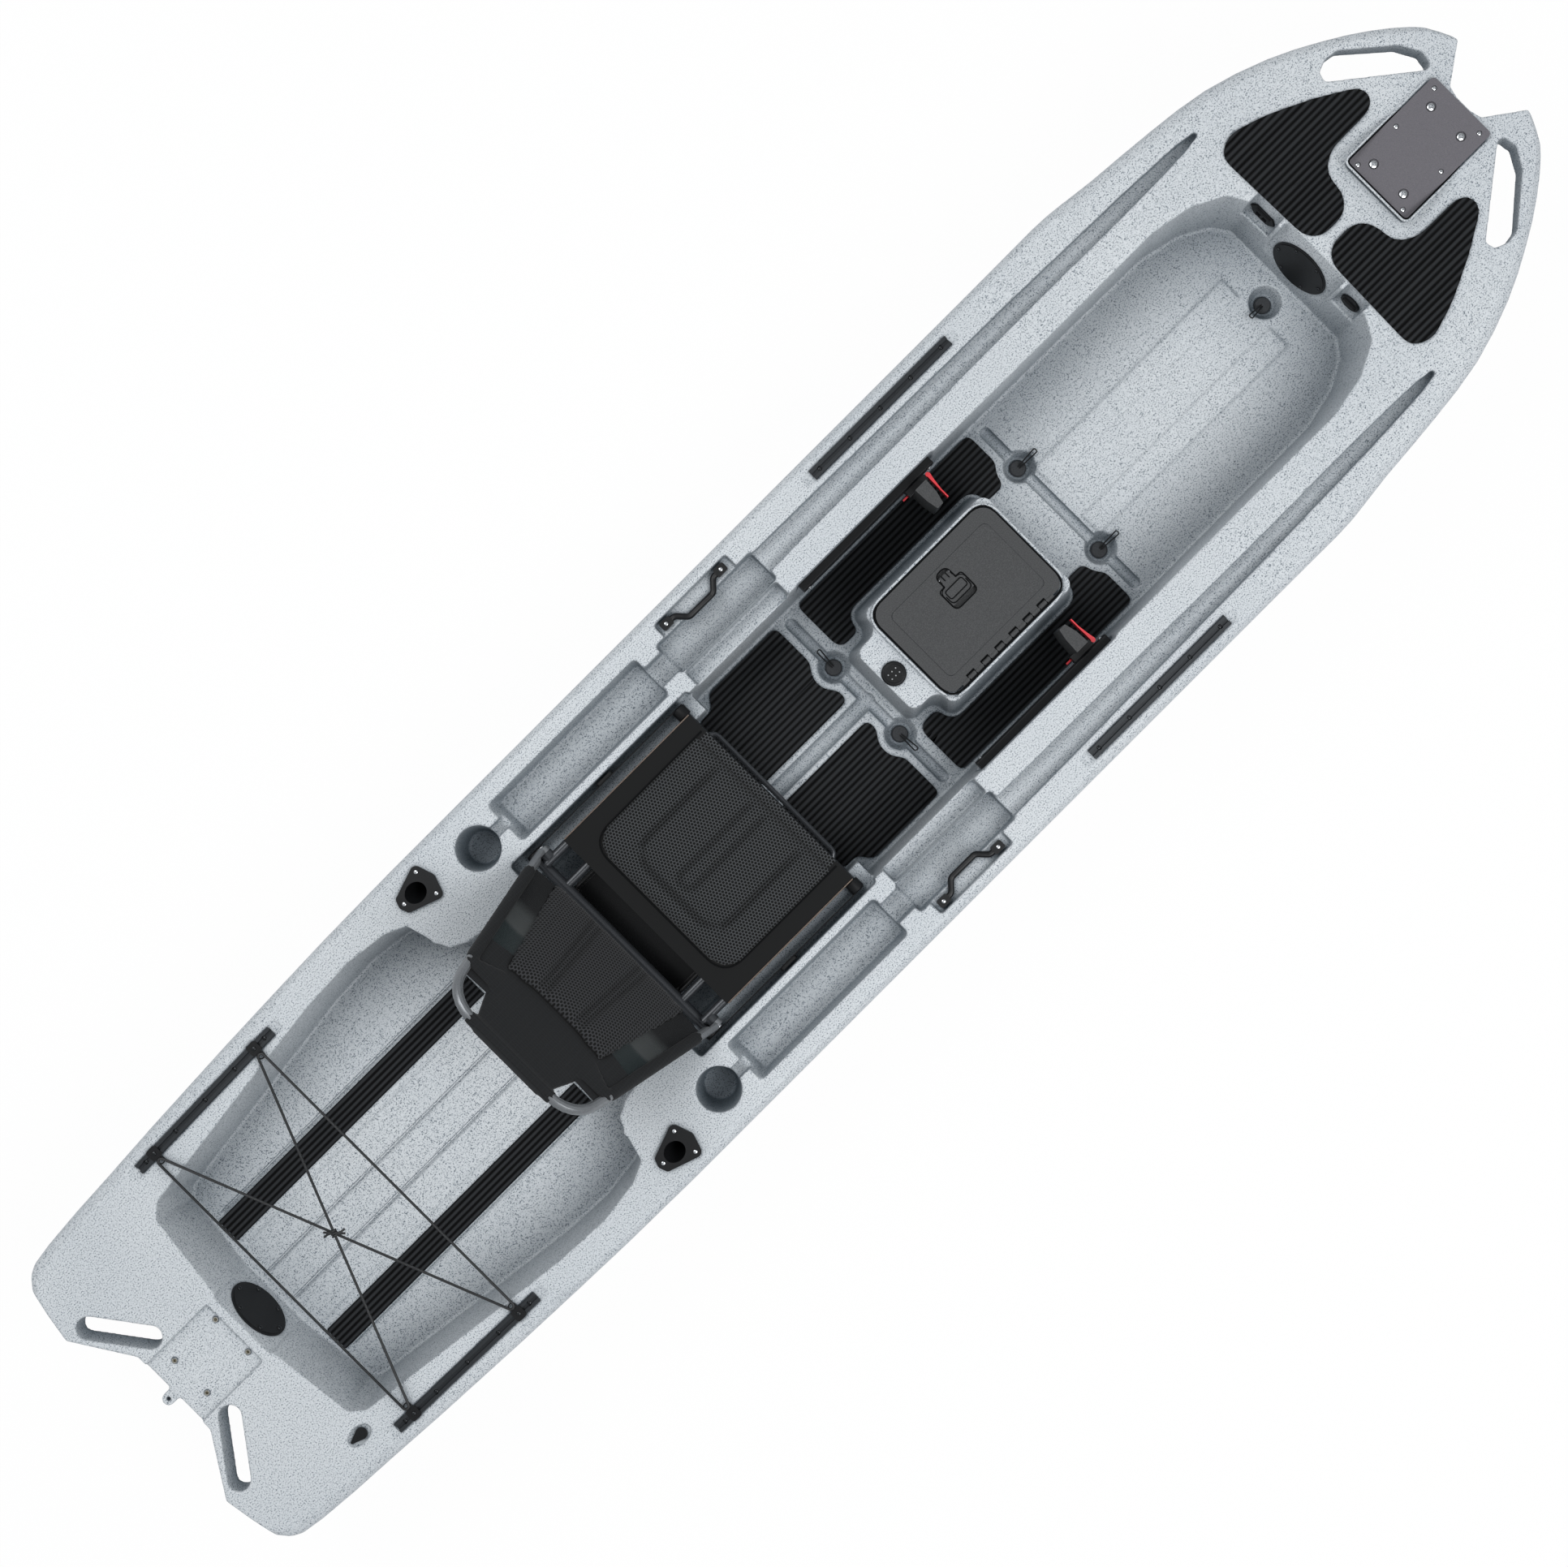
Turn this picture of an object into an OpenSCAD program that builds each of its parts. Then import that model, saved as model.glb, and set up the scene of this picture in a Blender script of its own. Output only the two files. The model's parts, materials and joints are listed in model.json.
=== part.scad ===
// Sit-on-top fishing kayak, in millimetres. +X is the bow, +Y is port, +Z is up.
// The origin lies on the ground under the middle of the hull.

/* [Hull] */
// Overall length of the hull
hull_l = 4040; // [3900:10:4200]
// Beam at the widest station
hull_w = 930; // [900:5:970]
// Height of the side decks above the keel
deck_h = 350; // [340:1:370]
// Rise of the foredeck per millimetre of length
bow_slope = 0.08; // [0.05:0.01:0.1]
// Depth of the tunnels between the centre keel and the outer keels
tunnel_h = 30; // [15:1:45]
// Width of the bevel along the gunwale
edge_w = 18; // [12:1:24]
// Width of the bevel at the bow and the stern
edge_end_w = 27; // [22:1:32]
// Height of the upright band under the bevel
edge_h = 30; // [20:1:38]

/* [Stern handles and panel] */
// Depth of the notch between the two stern corners
stern_notch = 85; // [60:5:100]
// Width of the flat end of the stern between the two grab slots
stern_end_w = 220; // [200:5:240]
// Thickness of the flanges that hold the grab slots
flange_t = 44; // [36:1:52]
// Width of a stern grab slot
stern_slot_w = 40; // [32:1:44]
// Width of the stern mounting panel
panel_w = 172; // [160:1:180]
// Length of the stern mounting panel
panel_l = 184; // [170:1:200]
// Depth of the stern mounting panel's recess
panel_depth = 8; // [4:1:12]
// Spacing of the panel's inserts along the hull
insert_dx = 124; // [110:1:140]
// Spacing of the panel's inserts across the hull
insert_dy = 98; // [80:1:120]
// Thread radius of a panel insert
insert_r = 3; // [2.5:0.5:4]
// Radius of the mooring eye
eye_r = 14; // [12:0.5:16]

/* [Tankwell] */
// Place of the tankwell's aft rim, from the stern
tank_from_stern = 296; // [285:1:310]
// Place of the tankwell's front corners
tank_front_x = -861; // [-880:1:-850]
// Half width of the tankwell at its widest
tank_hw = 389; // [375:1:395]
// Height of the tankwell floor
tank_floor_z = 195; // [180:1:210]
// Slope of the tankwell walls, rim to floor
tank_draft = 22; // [15:1:30]
// Width of a plank between two floor grooves
plank_w = 82; // [76:1:88]
// Width of a tankwell strip
strip_w = 60; // [50:1:66]
// Thickness of a tankwell strip
strip_t = 6; // [4:1:8]

/* [Cockpit] */
// Half width of the cockpit at its rim
cockpit_hw = 281; // [277:1:285]
// Half width of the cockpit floor
floor_hw = 270; // [268:1:274]
// Height of the cockpit floor
floor_z = 150; // [140:1:158]
// Height of the floor at the bow wall
bow_floor_z = 185; // [175:1:195]
// Place of the bow wall's rim, from the bow
bow_wall_from_bow = 531; // [520:1:545]
// Height of the seat bay floor over the cockpit floor
bay_step = 8; // [7:1:12]
// Half width of the trough under the seat
bay_hw = 232; // [226:1:238]
// Rear end of the seat bay
bay_x0 = -640; // [-650:1:-630]
// Height of the ledges that carry the seat
ledge_z = 300; // [290:1:310]
// Half width between the outer walls of the seat ledges
ledge_hw = 289; // [286:1:292]
// Thickness of the floor pads
pad_t = 5; // [3:1:7]

/* [Side decks] */
// Radius of a cup holder at its rim
cup_r = 50; // [45:1:52]
// Depth of a cup holder
cup_depth = 110; // [90:1:125]
// Place of the cup holders along the hull
cup_x = -650; // [-656:1:-644]
// Distance of the cup holders from the beam line
cup_inset = 101; // [98:1:106]
// Rear end of the side trays
tray_x0 = -574; // [-580:1:-560]
// Length of a side tray
tray_l = 447; // [430:1:460]
// Width of a side tray at its rim
tray_w = 109; // [100:1:114]
// Depth of a side tray
tray_depth = 60; // [40:1:80]
// Distance of the trays' outer rim from the beam line
tray_inset = 49; // [47:1:56]
// Depth of the side channels forward of the trays
channel_depth = 25; // [15:1:35]

/* [Console and hatch] */
// Rear end of the console
console_x0 = 205; // [203:1:212]
// Length of the console
console_l = 460; // [450:1:475]
// Height of the console's top
console_z = 330; // [315:1:340]
// Length of the hatch lid
lid_l = 346; // [330:1:350]
// Width of the hatch lid
lid_w = 254; // [244:1:260]
// Corner radius of the hatch lid
lid_r = 36; // [28:1:42]
// Thickness of the hatch lid
lid_t = 4; // [3.5:0.5:5]
// Height of the hatch frame above the console
frame_h = 6; // [5:0.5:8]
// Width of the hatch frame's rim
frame_rim = 14; // [12:0.5:16]
// Depth of the storage tub under the hatch
tub_depth = 250; // [220:1:260]
// Radius of the hatch hinge's barrel
barrel_r = 6; // [5.5:0.5:6]
// Radius of the hatch hinge pin
pin_r = 2.5; // [2:0.1:3]
// Running clearance of pins in their bores
pin_gap = 0.05; // [0.02:0.01:0.08]
// Pitch of the hatch hinge's knuckles
knuckle_pitch = 42.5; // [40:0.5:44]
// Length of one knuckle
knuckle_l = 20; // [17:0.5:22]
// Radius of the control pad on the console
keypad_r = 27; // [24:1:30]

/* [Scuppers] */
// Radius of a scupper well at the floor
well_r = 38; // [34:1:40]
// Depth of a scupper well
well_depth = 32; // [24:1:36]
// Radius of a scupper hole
scupper_r = 14; // [12:0.5:16]
// Radius of a scupper plug's head
plug_r = 19; // [17:0.5:21]
// Place of the aft pair of scuppers along the hull
scupper_aft_x = 173; // [170:1:176]
// Distance of the aft pair from the centre line
scupper_aft_y = 105; // [100:1:110]
// Place of the forward pair of scuppers along the hull
scupper_fwd_x = 781; // [776:1:786]
// Distance of the forward pair from the centre line
scupper_fwd_y = 129; // [124:1:134]
// Length of a plug's pull loop
loop_l = 66; // [55:1:75]
// Radius of a pull loop's cord
loop_cord_r = 1.6; // [1.3:0.1:1.9]

/* [Fittings] */
// Length of a gear track
track_l = 410; // [380:5:430]
// Width of a gear track
track_w = 24; // [22:1:26]
// Height of a gear track
track_h = 9; // [8:0.5:11]
// Spacing of the screws along a track
track_pitch = 91.5; // [85:0.5:95]
// Inside radius of a rod holder
rod_r = 22; // [20:0.5:23]
// Wall of a rod holder
rod_wall = 3; // [2.5:0.5:4]
// Length of a rod holder along its axis
rod_l = 190; // [160:5:200]
// Lean of a rod holder from upright
rod_lean = 28; // [20:1:30]
// Thickness of a rod holder's flange
rod_flange_t = 7; // [5:0.5:9]
// Length of the bow plate
bow_plate_l = 255; // [245:1:260]
// Width of the bow plate
bow_plate_w = 172; // [160:1:180]
// Thickness of the bow plate
bow_plate_t = 9; // [6:1:12]
// Bolt spacing of the bow plate along the hull
bow_bolt_dx = 166; // [150:1:176]
// Bolt spacing of the bow plate across the hull
bow_bolt_dy = 89; // [80:1:100]
// Hole radius of the bow plate's bolts
bow_bolt_r = 4.5; // [4:0.5:5]
// Half height of an oval cover plate
oval_a = 62; // [56:1:66]
// Half width of an oval cover plate
oval_b = 72; // [66:1:78]
// Thickness of an oval cover plate
oval_t = 5; // [4:0.5:7]
// Distance between a carry handle's screws
handle_l = 165; // [150:1:175]
// Diameter of a carry handle's grip
grip_d = 14; // [12:1:16]
// Diameter of the bungee cord
bungee_d = 6; // [5:0.5:7]

/* [Foot braces] */
// Length of a foot brace rail
rail_l = 394; // [380:1:410]
// Height of a foot brace rail
rail_h = 38; // [34:1:42]
// Depth of a foot brace rail off the wall
rail_t = 19; // [17:1:21]
// Length of a pedal's carriage
carriage_l = 56; // [50:1:60]
// Length of a pedal's plate, across the hull
pedal_w = 62; // [55:1:66]
// Height of a pedal's plate
pedal_h = 110; // [95:1:120]

/* [Seat] */
// Diameter of the seat's crossbars
bar_d = 25; // [22:1:27]
// Diameter of the seat's other tubes
tube_d = 20; // [18:1:22]
// Place of the seat's front crossbar
seat_front_x = -138; // [-142:1:-134]
// Distance between the seat's two crossbars
seat_l = 441; // [430:1:450]
// Half distance between the seat's side rails
rail_y = 238; // [234:1:240]
// Length of the seat's fabric
fabric_l = 380; // [360:1:390]
// Thickness of the seat's fabric
fabric_t = 3; // [2:0.5:4]
// Thickness of the seat's pad
seat_pad_t = 22; // [16:1:28]
// Lean of the backrest from upright, as it stands
recline = 41; // [35:1:43]
// Height of the backrest along its slope
back_h = 459; // [430:1:475]
// Half width of the backrest's top bend
back_top_hw = 176; // [165:1:185]
// Thickness of the back's pad
back_pad_t = 24; // [18:1:28]
// Length of the bin under the seat
bin_l = 390; // [360:1:400]
// Width of the bin under the seat
bin_w = 320; // [300:1:330]
// Height of the bin under the seat
bin_h = 128; // [110:1:132]
// Wall of the bin
bin_wall = 3; // [2:0.5:4]

/* [Hidden] */

$fn = 48;
// Gap left between a soft or curved piece and its seat
seat_gap = 0.3;
half_l = hull_l / 2;
half_w = hull_w / 2;

// Hull lines: rows of [distance from the end, value]
BOW_BEAM = [[0, 0.27], [28, 0.39], [104, 0.54], [192, 0.665], [293, 0.78], [430, 0.882], [575, 0.93],
    [732, 0.963], [890, 1]];
STERN_BEAM = [[0, 0.55], [12, 0.71], [22, 0.81], [60, 0.88], [300, 0.925], [680, 0.97], [1200, 1]];
BOW_KEEL = [[0, 225], [60, 172], [150, 118], [300, 62], [500, 26], [750, 6], [950, 0]];
STERN_KEEL = [[0, 120], [150, 74], [400, 24], [700, 4], [900, 0]];
BOW_CHINE = [[0, 0.42], [200, 0.6], [500, 0.82], [900, 1]];
STERN_CHINE = [[0, 0.8], [600, 1]];
STERN_STATIONS = [0, 5, 12, 22, 40, 60, 110, 200, 300, 450, 680, 820, 832, 1000, 1200];
BOW_STATIONS = [1120, 980, 890, 849, 823, 732, 650, 575, 500, 430, 360, 293, 240, 192, 145, 104, 70, 45,
    28, 12, 0];
stern_bevel_step = [820, 832];
bow_bevel_step = [823, 849];
mid_stations = 6;
rise_from_bow = 1120;
rise_l = 300;

function from_bow(x) = half_l - x;
function from_stern(x) = half_l + x;
function blend(a, b, t) = a + (b - a) * t;
function row_slope(t, i) = i == 0 ? (t[1][1] - t[0][1]) / (t[1][0] - t[0][0])
    : i == len(t) - 1 ? 0 : (t[i + 1][1] - t[i - 1][1]) / (t[i + 1][0] - t[i - 1][0]);
// Smooth curve through the rows of a table, by cubic pieces
function fair(x, t, i = 0) = x <= t[0][0] ? t[0][1] : i >= len(t) - 1 ? t[len(t) - 1][1]
    : x > t[i + 1][0] ? fair(x, t, i + 1)
    : let (w = t[i + 1][0] - t[i][0], u = (x - t[i][0]) / w)
        t[i][1] * (2 * u * u * u - 3 * u * u + 1) + row_slope(t, i) * w * (u * u * u - 2 * u * u + u)
        + t[i + 1][1] * (3 * u * u - 2 * u * u * u) + row_slope(t, i + 1) * w * (u * u * u - u * u);

rise_x = half_l - rise_from_bow;
deck_tilt = atan(bow_slope);
function deck_z(x) = x < rise_x ? deck_h
    : x < rise_x + rise_l ? deck_h + bow_slope * (x - rise_x) * (x - rise_x) / (2 * rise_l)
    : deck_h + bow_slope * (x - rise_x - rise_l / 2);
function half_beam(x) = half_w * min(fair(from_bow(x), BOW_BEAM), fair(from_stern(x), STERN_BEAM));
function keel_z(x) = fair(from_bow(x), BOW_KEEL) + fair(from_stern(x), STERN_KEEL);
function chine(x) = min(fair(from_bow(x), BOW_CHINE), fair(from_stern(x), STERN_CHINE));
function bevel_w(x) = max(
    lookup(from_stern(x), [[stern_bevel_step[0], edge_end_w], [stern_bevel_step[1], edge_w]]),
    lookup(from_bow(x), [[bow_bevel_step[0], edge_end_w], [bow_bevel_step[1], edge_w]]));

function mirrored(p) = concat(p, [for (i = [len(p) - 1:-1:0]) [p[i].x, -p[i].y]]);
function ring_of(p) = concat(p, [for (i = [len(p) - 1:-1:0]) [-p[i].x, p[i].y]]);

// Port half of the cross-section at station x, from the keel up to the deck edge
function section(x) =
    let (b = half_beam(x), s = deck_z(x), k = keel_z(x), c = b * chine(x), h = s - k,
        t = min(tunnel_h, h / 5), e = bevel_w(x))
    [[0.17 * c, k], [0.25 * c, k + t], [0.43 * c, k + t], [0.51 * c, k], [0.68 * c, k],
        [0.87 * c, k + 0.1 * h], [0.965 * blend(c, b, 0.45), k + 0.32 * h],
        [0.99 * blend(c, b, 0.85), k + 0.6 * h], [b, s - 2 * edge_h], [b, s - edge_h],
        [b - 0.3 * e, s - 0.35 * edge_h], [b - e, s]];
stations = concat([for (d = STERN_STATIONS) d - half_l],
    [for (i = [1:mid_stations - 1]) blend(1200 - half_l, half_l - 1120, i / mid_stations)],
    [for (d = BOW_STATIONS) half_l - d]);

// Skin through rings of points that all hold n points, as triangles, with flat ends
function tube_faces(rings, n) = concat([[for (j = [0:n - 1]) j]],
    [for (i = [0:rings - 2]) for (j = [0:n - 1]) for (f = [0, 1])
        let (a = i * n + j, d = i * n + (j + 1) % n, b = a + n, c = d + n) f == 0 ? [a, b, c] : [a, c, d]],
    [[for (j = [n - 1:-1:0]) (rings - 1) * n + j]]);

module hull_form() {
    rings = [for (x = stations) for (p = ring_of(section(x))) [x, p[0], p[1]]];
    polyhedron(rings, tube_faces(len(stations), len(rings) / len(stations)), convexity = 6);
}

// Small shape helpers
module both_sides() {
    children();
    mirror([0, 1, 0]) children();
}
module rounded(r) {
    offset(r, $fn = 20) offset(-r) children();
}
module block2d(x0, x1, y0, y1, r) {
    rounded(r) translate([x0, y0]) square([x1 - x0, y1 - y0]);
}
// Pocket with sloped walls: the first child is its floor, the second its mouth
module pocket(z0, z1) {
    hull() {
        translate([0, 0, z0]) linear_extrude(0.01) children(0);
        translate([0, 0, z1]) linear_extrude(0.01) children(1);
    }
    translate([0, 0, z1]) linear_extrude(150) children(1);
}
// Straight-walled rectangular pocket from z0 up, with a draft of 3 mm in all
module tray_cut(x0, x1, y0, y1, z0, r) {
    pocket(z0, deck_h) {
        block2d(x0 + 3, x1 - 3, y0 + 3, y1 - 3, r);
        block2d(x0, x1, y0, y1, r);
    }
}
module on_foredeck(x, y) {
    translate([x, y, deck_z(x)]) rotate([0, -deck_tilt, 0]) children();
}

// Places that several pieces share
tank_x0 = tank_from_stern - half_l;
bow_wall_x = half_l - bow_wall_from_bow;
bay_z = floor_z + bay_step;
wall_tilt = 12;
stern_wall_tilt = 18;
niche_hw = 87;
bow_niche = [bow_wall_x + 1, 290];
stern_niche = [tank_x0 + 18, 273];
cup_y = half_w - cup_inset;
tray_y1 = half_w - tray_inset;
tray_y0 = tray_y1 - tray_w;
tray_x1 = tray_x0 + tray_l;
handle_x = 56.5;
handle_y = half_w - 45;
handle_seat_z = deck_h - 20;
grip_pocket_x1 = 212;
bow_track_x = 419 + track_l / 2;
bow_track_y = half_w - 43;
stern_track_x = tank_x0 + 281;
stern_track_y = half_w - 69;
stern_track_turn = 1.4;
panel_x0 = stern_notch - half_l;
panel_x1 = panel_x0 + panel_l;
insert_x = panel_x0 + panel_l / 2 + 19;
drain_x = tank_x0 + 6;
drain_y = 121 - half_w;
scupper_bow_x = bow_wall_x - 71;
floor_run = bow_wall_x - scupper_fwd_x;
function cockpit_floor_z(x) =
    x < scupper_fwd_x ? floor_z : blend(floor_z, bow_floor_z, (x - scupper_fwd_x) / floor_run);
SCUPPERS = [[scupper_aft_x, scupper_aft_y], [scupper_aft_x, -scupper_aft_y], [scupper_fwd_x, scupper_fwd_y],
    [scupper_fwd_x, -scupper_fwd_y], [scupper_bow_x, 0]];
LOOP_TURNS = [90, -90, 0, 0, 180];

module on_bow_wall() {
    translate([bow_niche[0], 0, bow_niche[1]]) rotate([0, wall_tilt - 90, 0]) children();
}
module on_stern_wall() {
    translate([stern_niche[0], 0, stern_niche[1]]) rotate([0, 90 - stern_wall_tilt, 0]) children();
}

// The tankwell, open from its aft wall to the seat bay
module tankwell() {
    side = [[tank_x0 + 24, tank_hw - 99], [tank_x0 + 54, tank_hw - 73], [tank_front_x - 473, tank_hw - 29],
        [tank_front_x - 288, tank_hw - 6], [tank_front_x - 161, tank_hw], [tank_front_x - 61, tank_hw - 13],
        [tank_front_x - 15, tank_hw - 34], [tank_front_x, tank_hw - 89]];
    rim = mirrored(concat([[tank_x0, niche_hw]], side));
    pocket(tank_floor_z, deck_h) {
        translate([tank_draft, 0]) offset(-tank_draft) polygon(rim);
        polygon(rim);
    }
    neck = mirrored([[tank_front_x - 60, 290], [tank_front_x + 4, 285], [tank_front_x + 18, 256],
        [tank_front_x + 54, 238], [tank_front_x + 92, bay_hw], [bay_x0 + 1, bay_hw]]);
    translate([0, 0, tank_floor_z]) linear_extrude(300) polygon(neck);
}
groove_w = 9;
// Each groove ends short of the one inside it, so the planks' ends are staggered
module tankwell_grooves() {
    for (i = [0:2], side = [-1, 1]) let (x0 = tank_x0 + 66 + 10 * i, x1 = tank_front_x - 14 - 12 * i)
        translate([x0, side * (plank_w / 2 + i * plank_w) - groove_w / 2, tank_floor_z - 4])
            cube([x1 - x0, groove_w, 5]);
}

// The trough under the seat with its two ledges, and the cockpit with its bow wall
module seat_bay() {
    translate([bay_x0, -bay_hw, bay_z]) cube([seat_front_x - 20 - bay_x0, 2 * bay_hw, 300]);
    translate([seat_front_x - 21, -bay_hw, floor_z]) cube([120, 2 * bay_hw, 300]);
    translate([0, 0, ledge_z]) linear_extrude(300)
        block2d(bay_x0 + 10, seat_front_x + 42, -ledge_hw, ledge_hw, 8);
}
module cockpit() {
    x0 = seat_front_x + 42;
    hull() {
        for (p = mirrored([[x0, floor_hw], [scupper_fwd_x, floor_hw]]))
            translate([p[0], p[1], floor_z]) cube(0.01);
        for (p = mirrored([[bow_wall_x - 200, floor_hw - 6], [bow_wall_x - 106, floor_hw - 28],
                [bow_wall_x - 42, floor_hw - 64], [bow_wall_x - 14, floor_hw - 104]]))
            translate([p[0], p[1], cockpit_floor_z(p[0])]) cube(0.01);
        for (p = mirrored([[x0, cockpit_hw], [bow_wall_x - 193, cockpit_hw - 7],
                [bow_wall_x - 99, cockpit_hw - 26], [bow_wall_x - 29, cockpit_hw - 64],
                [bow_wall_x - 3, cockpit_hw - 114]]))
            translate([p[0], p[1], deck_z(p[0])]) cube([0.01, 0.01, 60]);
        translate([bow_wall_x, -cockpit_hw + 190, deck_z(bow_wall_x)]) cube([0.01, 2 * cockpit_hw - 380, 60]);
        translate([bow_wall_x - 14, -60, bow_floor_z]) cube([0.01, 120, 0.01]);
    }
}
module wall_niches() {
    on_bow_wall() {
        translate([-68, -niche_hw, 0]) cube([200, 2 * niche_hw, 60]);
        translate([10, 98, -2]) cube([120, 76, 60]);
        translate([12, -160, -2]) cube([120, 62, 60]);
    }
    on_stern_wall() translate([-120, -niche_hw, 0]) cube([188, 2 * niche_hw, 70]);
}

// Sunken places of one side deck
module side_deck_cuts() {
    pocket(deck_h - cup_depth, deck_h) {
        translate([cup_x, cup_y]) circle(cup_r - 13, $fn = 36);
        translate([cup_x, cup_y]) circle(cup_r, $fn = 36);
    }
    translate([cup_x, cup_y - 14, deck_h - 26]) cube([tray_x0 - cup_x + 20, 28, 100]);
    pocket(deck_h - tray_depth, deck_h) {
        block2d(tray_x0 + 22, tray_x1 - 4, tray_y0 + 10, tray_y1 - 9, 8);
        block2d(tray_x0, tray_x1, tray_y0, tray_y1, 10);
    }
    tray_cut(tray_x1 - 12, -70, tray_y0 + 22, tray_y1 - 30, deck_h - 44, 5);
    tray_cut(-78, grip_pocket_x1, tray_y0 + 13, half_w - 62, deck_h - 50, 8);
    tray_cut(-72, 205, cockpit_hw - 4, tray_y0 + 13, deck_h - 40, 6);
    tray_cut(handle_x - 106, handle_x + 112, half_w - 74, half_w - 28, handle_seat_z, 6);
    foot_wall_cut();
    side_channel();
}
// Flat upright seat for the foot brace rail
rail_x0 = 236;
rail_z0 = 262;
module foot_wall_cut() {
    translate([rail_x0 - 8, floor_hw - 12, rail_z0 - 12]) cube([rail_l + 16, cockpit_hw - floor_hw + 12, 200]);
}
module side_channel() {
    x1 = half_l - 495;
    x_mid = rise_x + 80;
    y = half_w - 123;
    module end(x, y0, y1) {
        translate([x, y0, deck_z(x) - channel_depth]) cube([0.01, y1 - y0, 120]);
    }
    hull() {
        end(grip_pocket_x1 - 6, y, y + 55);
        end(x_mid, y + 5, y + 46);
    }
    hull() {
        end(x_mid, y + 5, y + 46);
        end(x1 - 220, y + 2, y + 36);
        end(x1 - 70, y + 4, y + 28);
        end(x1 - 20, y + 10, y + 20);
    }
}

// Stern: the notch, the mooring eye, the grab slots and the panel's recess
module stern_cuts() {
    z = deck_h - flange_t;
    translate([0, 0, -1]) linear_extrude(600)
        polygon(mirrored([[-half_l - 10, stern_end_w / 2 + 150], [panel_x0, stern_end_w / 2]]));
    translate([0, 0, -1]) linear_extrude(z + 1) polygon(mirrored([[-half_l - 10, 320], [-half_l + 50, 286],
        [-half_l + 172, 130], [-half_l + 160, 98], [panel_x0 + 12, 90]]));
    both_sides() hull() {
        for (p = [[-half_l + 60, 232], [-half_l + 142, 122]]) {
            translate([p[0], p[1], z - 1]) cylinder(1, stern_slot_w / 2, stern_slot_w / 2, $fn = 20);
            translate([p[0] - 8, p[1] - 3, deck_h])
                cylinder(20, stern_slot_w / 2 + 5, stern_slot_w / 2 + 5, $fn = 20);
        }
    }
    translate([0, 0, deck_h - panel_depth]) linear_extrude(100)
        block2d(panel_x0 - 20, panel_x1, -panel_w / 2, panel_w / 2, 5);
    for (x = [-1, 1], y = [-1, 1])
        translate([insert_x + x * insert_dx / 2, y * insert_dy / 2, deck_h - panel_depth - 15])
            cylinder(40, insert_boss_r + seat_gap, insert_boss_r + seat_gap, $fn = 24);
    translate([drain_x, drain_y, deck_h - 7]) linear_extrude(40) scale([1.6, 1]) circle(19, $fn = 28);
    translate([drain_x + 6, drain_y, deck_h - 30]) cylinder(60, 9.5, 9.5, $fn = 24);
}
module mooring_eye() {
    translate([panel_x0 - 20, 0, deck_h - 38]) difference() {
        union() {
            cylinder(28, eye_r, eye_r, $fn = 24);
            translate([0, -eye_r, 0]) cube([26, 2 * eye_r, 28]);
        }
        translate([0, 0, -1]) cylinder(40, 5.5, 5.5, $fn = 16);
    }
}

// Bow: the notch, the grab slots and the flanges over the narrow stem
module bow_cuts() {
    z = deck_z(half_l - 150) - flange_t;
    slot = [[-253, 240], [-248, 262], [-220, 273], [-190, 268], [-95, 185], [-70, 140], [-75, 110], [-88, 105]];
    translate([0, 0, -1]) linear_extrude(600)
        polygon(mirrored([[half_l + 10, 112], [half_l - 79, 46], [half_l - 85, 20]]));
    translate([half_l, 0, 0]) both_sides() {
        translate([0, 0, -1]) linear_extrude(600) rounded(7) polygon(slot);
        translate([0, 0, -1]) linear_extrude(z + 1)
            polygon([[-330, 520], [-276, 258], [-90, 92], [-78, 0], [60, 0], [60, 520]]);
    }
}

// The raised pod under the hatch, the lip round the lid, and the storage tub
lid_x0 = console_x0 + 89;
lid_x1 = lid_x0 + lid_l;
lid_cx = lid_x0 + lid_l / 2;
module console_outline() {
    rounded(24) offset(-30, $fn = 20) offset(30, $fn = 20) {
        translate([console_x0, -104]) square([140, 208]);
        translate([console_x0 + 74, -lid_w / 2 - 34]) square([console_l - 74, lid_w + 68]);
    }
}
module console_pod() {
    cx = console_x0 + console_l / 2;
    translate([cx, 0, floor_z - 2]) linear_extrude(console_z - floor_z + 2, scale = [0.95, 0.86], slices = 1)
        translate([-cx, 0]) console_outline();
}
lip_gap = 4;
lip_w = 7;
module hatch_lip() {
    translate([0, 0, console_z - 2]) linear_extrude(lid_z + lid_t - console_z) difference() {
        lid_outline(-lip_gap - lip_w);
        lid_outline(-lip_gap);
        translate([lid_x0 - 1, hinge_y - 8]) square([lid_l + 2, 40]);
    }
}
module console_tub() {
    pocket(console_z - tub_depth, console_z) {
        block2d(lid_x0 + 34, lid_x1 - 34, -lid_w / 2 + 32, lid_w / 2 - 32, 20);
        block2d(lid_x0 + 20, lid_x1 - 20, -lid_w / 2 + 20, lid_w / 2 - 20, 22);
    }
    translate([keypad_x, 0, console_z - 18]) cylinder(60, keypad_r - 4, keypad_r - 4, $fn = 32);
}

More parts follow.
